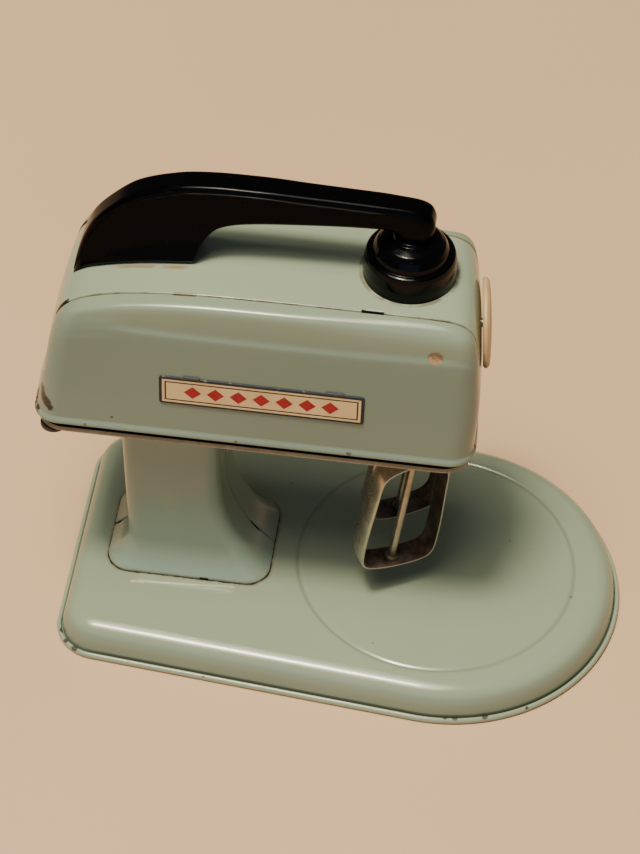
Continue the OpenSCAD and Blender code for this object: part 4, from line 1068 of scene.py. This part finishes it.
grip = []
for s in ((-90.2, -90.8, 1.6, 7, 4.6), (-87, -89.3, 7, 7.8, 4.8), (-81, -84.9, 16.3, 8.3, 4.8), (-74, -77.6, 23.4, 8.4, 4.8), (-66, -69.4, 28.6, 8.3, 4.8), (-58, -60.6, 31.2, 8.1, 4.8), (-51, -52.5, 32.6, 7.8, 4.8)):
    z = top_z(s[0])
    grip.append((s[0], z - 0.1, s[1], z - 2 + s[2], s[3], s[4]))
grip += [(-48.4, 159.6, -47, 184.4, 7.4, 4.8), (-46.6, 163.8, -42, 184.7, 6.9, 4.8), (-42.6, 168, -36, 184.8, 6.4, 4.8), (-35.5, 170.3, -29, 184.8, 6.1, 4.8), (-16, 172.5, -14, 184.3, 5.8, 4.7), (2, 173.9, 3, 183.8, 5.6, 4.6), (9.5, 174.4, 13, 183.4, 5.5, 4.6), (13, 173.6, 20.4, 182.8, 5.5, 4.7), (14.4, 172.4, 25.0, 180.7, 5.4, 4.9), (14.9, 171.4, 26.6, 176.2, 5.3, 5.1), (15, 170.3, 25.2, 170.3, 5.1, 5.1)]
G = np.array(grip)
mid = (G[:, 0:2] + G[:, 2:4]) / 2
gd = np.r_[0, np.cumsum(np.maximum(np.linalg.norm(np.diff(mid, axis=0), axis=1), np.linalg.norm(np.diff(G[:, 2:4], axis=0), axis=1) * 0.8))]
gt = np.linspace(0, gd[-1], 170)
GS = np.stack([steady(gd, G[:, k])(gt) for k in range(6)], axis=1)


def grip_ring(g):
    lo, up = g[0:2], g[2:4]
    H = float(np.linalg.norm(up - lo))
    wl, wu = g[4], g[5]
    knuckle = float(smooth(up[0], 8, 22))
    rt = min(2.0 + 0.9 * knuckle, 0.42 * H, 0.8 * wu)
    rb = min(2.4 + 0.6 * knuckle, 0.40 * H, 0.7 * wl)
    ridge = 0.32 * float(smooth(H, 6.0, 9.0)) * (1 - float(smooth(up[0], -2, 12)))
    half = []
    for t in np.linspace(0, 1, 6)[:-1]:
        half.append(((wu - rt) * t, 0.0))
    for a in np.radians(np.linspace(0, 90, 11)):
        half.append((wu - rt + rt * math.sin(a), rt - rt * math.cos(a)))
    deep = [0.1, 0.35, 0.5, 0.6, 0.7, 0.85, 1.2, 2.2]
    room = H - rb
    for q in deep:
        half.append((None, rt + q * min(1.0, max(room - rt, 0.1) / 3.6)))
    lowest = half[-1][1]
    for t in np.linspace(0, 1, 9)[1:]:
        half.append((None, lowest + (room - lowest) * t))
    for a in np.radians(np.linspace(0, 90, 9))[1:]:
        half.append((("arc", a), 0))
    for t in np.linspace(0, 1, 5)[1:]:
        half.append((("flat", t), H))
    pts = []
    for w, q in half:
        if w is None:
            base = wu + (wl - wu) * q / H
            w = base - ridge * float(smooth(q, rt + 0.32, rt + 0.65))
        elif isinstance(w, tuple) and w[0] == "arc":
            a = w[1]
            edge = wl - ridge - (wl - wu) * rb / H * (1 - math.sin(a)) * 0.4
            w = edge - rb + rb * math.cos(a)
            q = H - rb + rb * math.sin(a)
        elif isinstance(w, tuple):
            edge = wl - ridge
            w = (edge - rb) * (1 - w[1])
        pts.append((w, q))
    pts = np.array(pts)
    dirn = (lo - up) / max(H, 1e-6)
    right = [(up[0] + dirn[0] * q, -w, up[1] + dirn[1] * q) for w, q in pts]
    left = [(p[0], -p[1], p[2]) for p in right[1:-1][::-1]]
    return right + left


rings = np.array([grip_ring(g) for g in GS])
c0 = rings[0].mean(axis=0)
c1 = rings[-1].mean(axis=0)
make("handle_visual", loft(rings, c0, c1), "hood", BLACK, ["handle"], angle=50)

ped = rounded(
    [(0, 153.1), (15.3, 153.1), (15.25, 157.5), (15, 161.3), (14.5, 162.9), (13.7, 163.4), (12.95, 163.1), (12.6, 163.4), (12.2, 165), (11.2, 166.9), (9.6, 168.4), (7.6, 169.2), (6.1, 169.5), (5.7, 170.4), (0, 170.4)],
    [0, 0.25, 2, 2, 0.8, 0.6, 0.3, 0.35, 1.5, 2, 2, 1, 0.4, 0.3, 0], 7)
v, f = lathe(ped, 144)
make("handle_pedestal_visual", (v + np.array([19.2, 0, 0]), f), "hood", TURNED, ["handle_pedestal"], angle=50)


# ---------- knob ----------


def at_knob(v):
    a, t = math.radians(86), math.radians(5)
    v = np.asarray(v, float)
    x = v[:, 0] * math.cos(a) + v[:, 2] * math.sin(a)
    z = -v[:, 0] * math.sin(a) + v[:, 2] * math.cos(a)
    return np.column_stack([x * math.cos(t) - v[:, 1] * math.sin(t) + 44.09118, x * math.sin(t) + v[:, 1] * math.cos(t), z + 134.5])


kn = rounded([(0, 0.4), (14.4, 0.4), (15.1, 1.0), (15.1, 1.75), (14.1, 2.6), (11.1, 3.0), (6, 3.25), (0, 3.4)], [0, 0.3, 0.5, 0.6, 0.6, 2, 3, 0], 6)
v, f = lathe(kn, 128)
make("knob_disc_visual", (at_knob(v), f), "knob", CREAM, ["knob_disc"], angle=55)


# ---------- beaters ----------


def drive(v):
    a = math.radians(6)
    v = np.asarray(v, float)
    return np.column_stack([v[:, 0] * math.cos(a) + v[:, 2] * math.sin(a) + 27.5, v[:, 1], -v[:, 0] * math.sin(a) + v[:, 2] * math.cos(a) + 91])


half = np.array([(0, -65.4), (4, -65.2), (8, -64.5), (10.9, -63.1), (12.5, -60.7), (13.1, -57), (13.2, -50), (12.8, -38), (12.1, -24), (11.6, -18.5), (10.5, -15.8), (8.6, -14), (5, -12.2), (0, -11.2)])
half = half * np.array([14.6 / 13.2, 1.0])
whole = np.concatenate([half, half[-2:0:-1] * np.array([-1, 1])])
wrap = np.concatenate([whole[-4:], whole, whole[:5]])
lc = Curve(wrap)
u0, u1 = lc.knots[4], lc.knots[4 + len(whole)]
lu = u0 + (u1 - u0) * np.arange(200) / 200
lq = lc.at(lu)
ln = -lc.left(lu)
cs = []
for w in np.linspace(-4.3, 4.3, 11):
    cs.append((w, -0.42 * (w / 4.5) ** 2, 0.0, 0.0))
cs += [(4.44, -0.50, 0.0, 1.0), (4.5, -0.68, 0.2, 1.0), (4.5, -0.92, 0.6, 1.0), (4.42, -1.08, 1.0, 0.6)]
for w in np.linspace(4.2, -4.2, 11):
    cs.append((w, -0.42 * (w / 4.5) ** 2 - 0.68, 1.0, 0.0))
cs += [(-4.42, -1.08, 1.0, 0.6), (-4.5, -0.92, 0.6, 1.0), (-4.5, -0.68, 0.2, 1.0), (-4.44, -0.50, 0.0, 1.0)]
band = np.zeros((len(lq), len(cs), 3))
for k, (w, o, _, _) in enumerate(cs):
    band[:, k, 0] = lq[:, 0] + o * ln[:, 0]
    band[:, k, 2] = lq[:, 1] + o * ln[:, 1]
    band[:, k, 1] = w
bv, bf = loft(band, rows_closed=True)
inner_a = np.tile(np.array([c[2] for c in cs]), len(lq))
edge_a = np.tile(np.array([c[3] for c in cs]), len(lq))
low_a = smooth(-bv[:, 2], 50, 64)
wire = rounded([(0, -66), (1.05, -66), (1.4, -65.6), (1.4, -64.75), (2.4, -64.55), (2.4, -63.65), (1.4, -63.4), (1.4, 3.6), (1.1, 4.0), (0, 4.0)], [0, 0.25, 0.2, 0.15, 0.25, 0.25, 0.3, 0.2, 0.15, 0], 4)
wv, wf = lathe(wire, 48)
for side, sgn, turn, seed in (("near", -1, 28, 0.0), ("far", 1, 32, 17.0)):
    a = math.radians(turn)
    q = np.column_stack([bv[:, 0] * math.cos(a) - bv[:, 1] * math.sin(a), bv[:, 0] * math.sin(a) + bv[:, 1] * math.cos(a) + 12 * sgn, bv[:, 2]])
    make("beater_band_%s_visual" % side, (drive(q), bf), side + "_beater", beater_metal("beater_band_" + side, seed), ["beater_band_" + side], {"inner": inner_a, "edge": edge_a, "low": low_a}, 60)
    make("beater_shaft_%s_visual" % side, (drive(wv + np.array([0, 12 * sgn, 0])), wf), side + "_beater", SHAFT, ["beater_shaft_" + side], angle=50)


# ---------- floor, light, camera ----------


def floor_look():
    s = Shade("pale_floor")
    c = s.mix(s.step(s.noise(0.004, 3.0), 0.3, 0.7), (0.580, 0.397, 0.253), (0.605, 0.414, 0.264))
    return s.set(Base_Color=c, Roughness=0.6, Specular_IOR_Level=0.3)


n = 24
g = np.linspace(-3000, 3000, n + 1)
fv = np.array([(x, y, -0.05) for y in g for x in g])
ff = [(j * (n + 1) + i, j * (n + 1) + i + 1, (j + 1) * (n + 1) + i + 1, (j + 1) * (n + 1) + i) for j in range(n) for i in range(n)]
fm = bpy.data.meshes.new("floor")
fm.from_pydata((fv * MM).tolist(), [], ff)
fm.materials.append(floor_look())
floor = bpy.data.objects.new("floor", fm)
SCENE.collection.objects.link(floor)


def area(name, direction, dist, size, watts, colour, target=(0, 0, 0.08)):
    d = Vector(direction).normalized()
    l = bpy.data.lights.new(name, "AREA")
    l.shape = "DISK"
    l.size = size
    l.energy = watts
    l.color = colour
    ob = bpy.data.objects.new(name, l)
    ob.location = Vector(target) + d * dist
    ob.rotation_euler = d.to_track_quat("Z", "Y").to_euler()
    SCENE.collection.objects.link(ob)
    return ob


area("key", (-0.17, -0.22, 1.0), 3.0, 0.55, 103.0, (1.0, 0.893, 0.685))
area("soft", (-0.17, -0.22, 1.0), 3.0, 1.75, 80.0, (1.0, 0.893, 0.685))
area("front", (0.05, -1.0, 0.30), 3.0, 3.0, 14.0, (0.24, 0.58, 1.0))
world = bpy.data.worlds.new("room")
world.use_nodes = True
bg = world.node_tree.nodes["Background"]
bg.inputs["Color"].default_value = (1.0, 0.92, 0.80, 1.0)
bg.inputs["Strength"].default_value = 0.12
SCENE.world = world

az, el, ro = math.radians(5.38), math.radians(46.46), math.radians(2.45)
back = Vector((math.sin(az) * math.cos(el), -math.cos(az) * math.cos(el), math.sin(el)))
right = Vector((math.cos(az), math.sin(az), 0))
up = back.cross(right)
r2 = math.cos(ro) * right + math.sin(ro) * up
u2 = -math.sin(ro) * right + math.cos(ro) * up
cam = bpy.data.cameras.new("camera")
cam.sensor_width = 36
cam.lens = 116.56
cam_ob = bpy.data.objects.new("camera", cam)
SCENE.collection.objects.link(cam_ob)
pos = Vector((0.0539, -0.6546, 0.7681))
cam_ob.matrix_world = Matrix(((r2.x, u2.x, back.x, pos.x), (r2.y, u2.y, back.y, pos.y), (r2.z, u2.z, back.z, pos.z), (0, 0, 0, 1)))
SCENE.camera = cam_ob
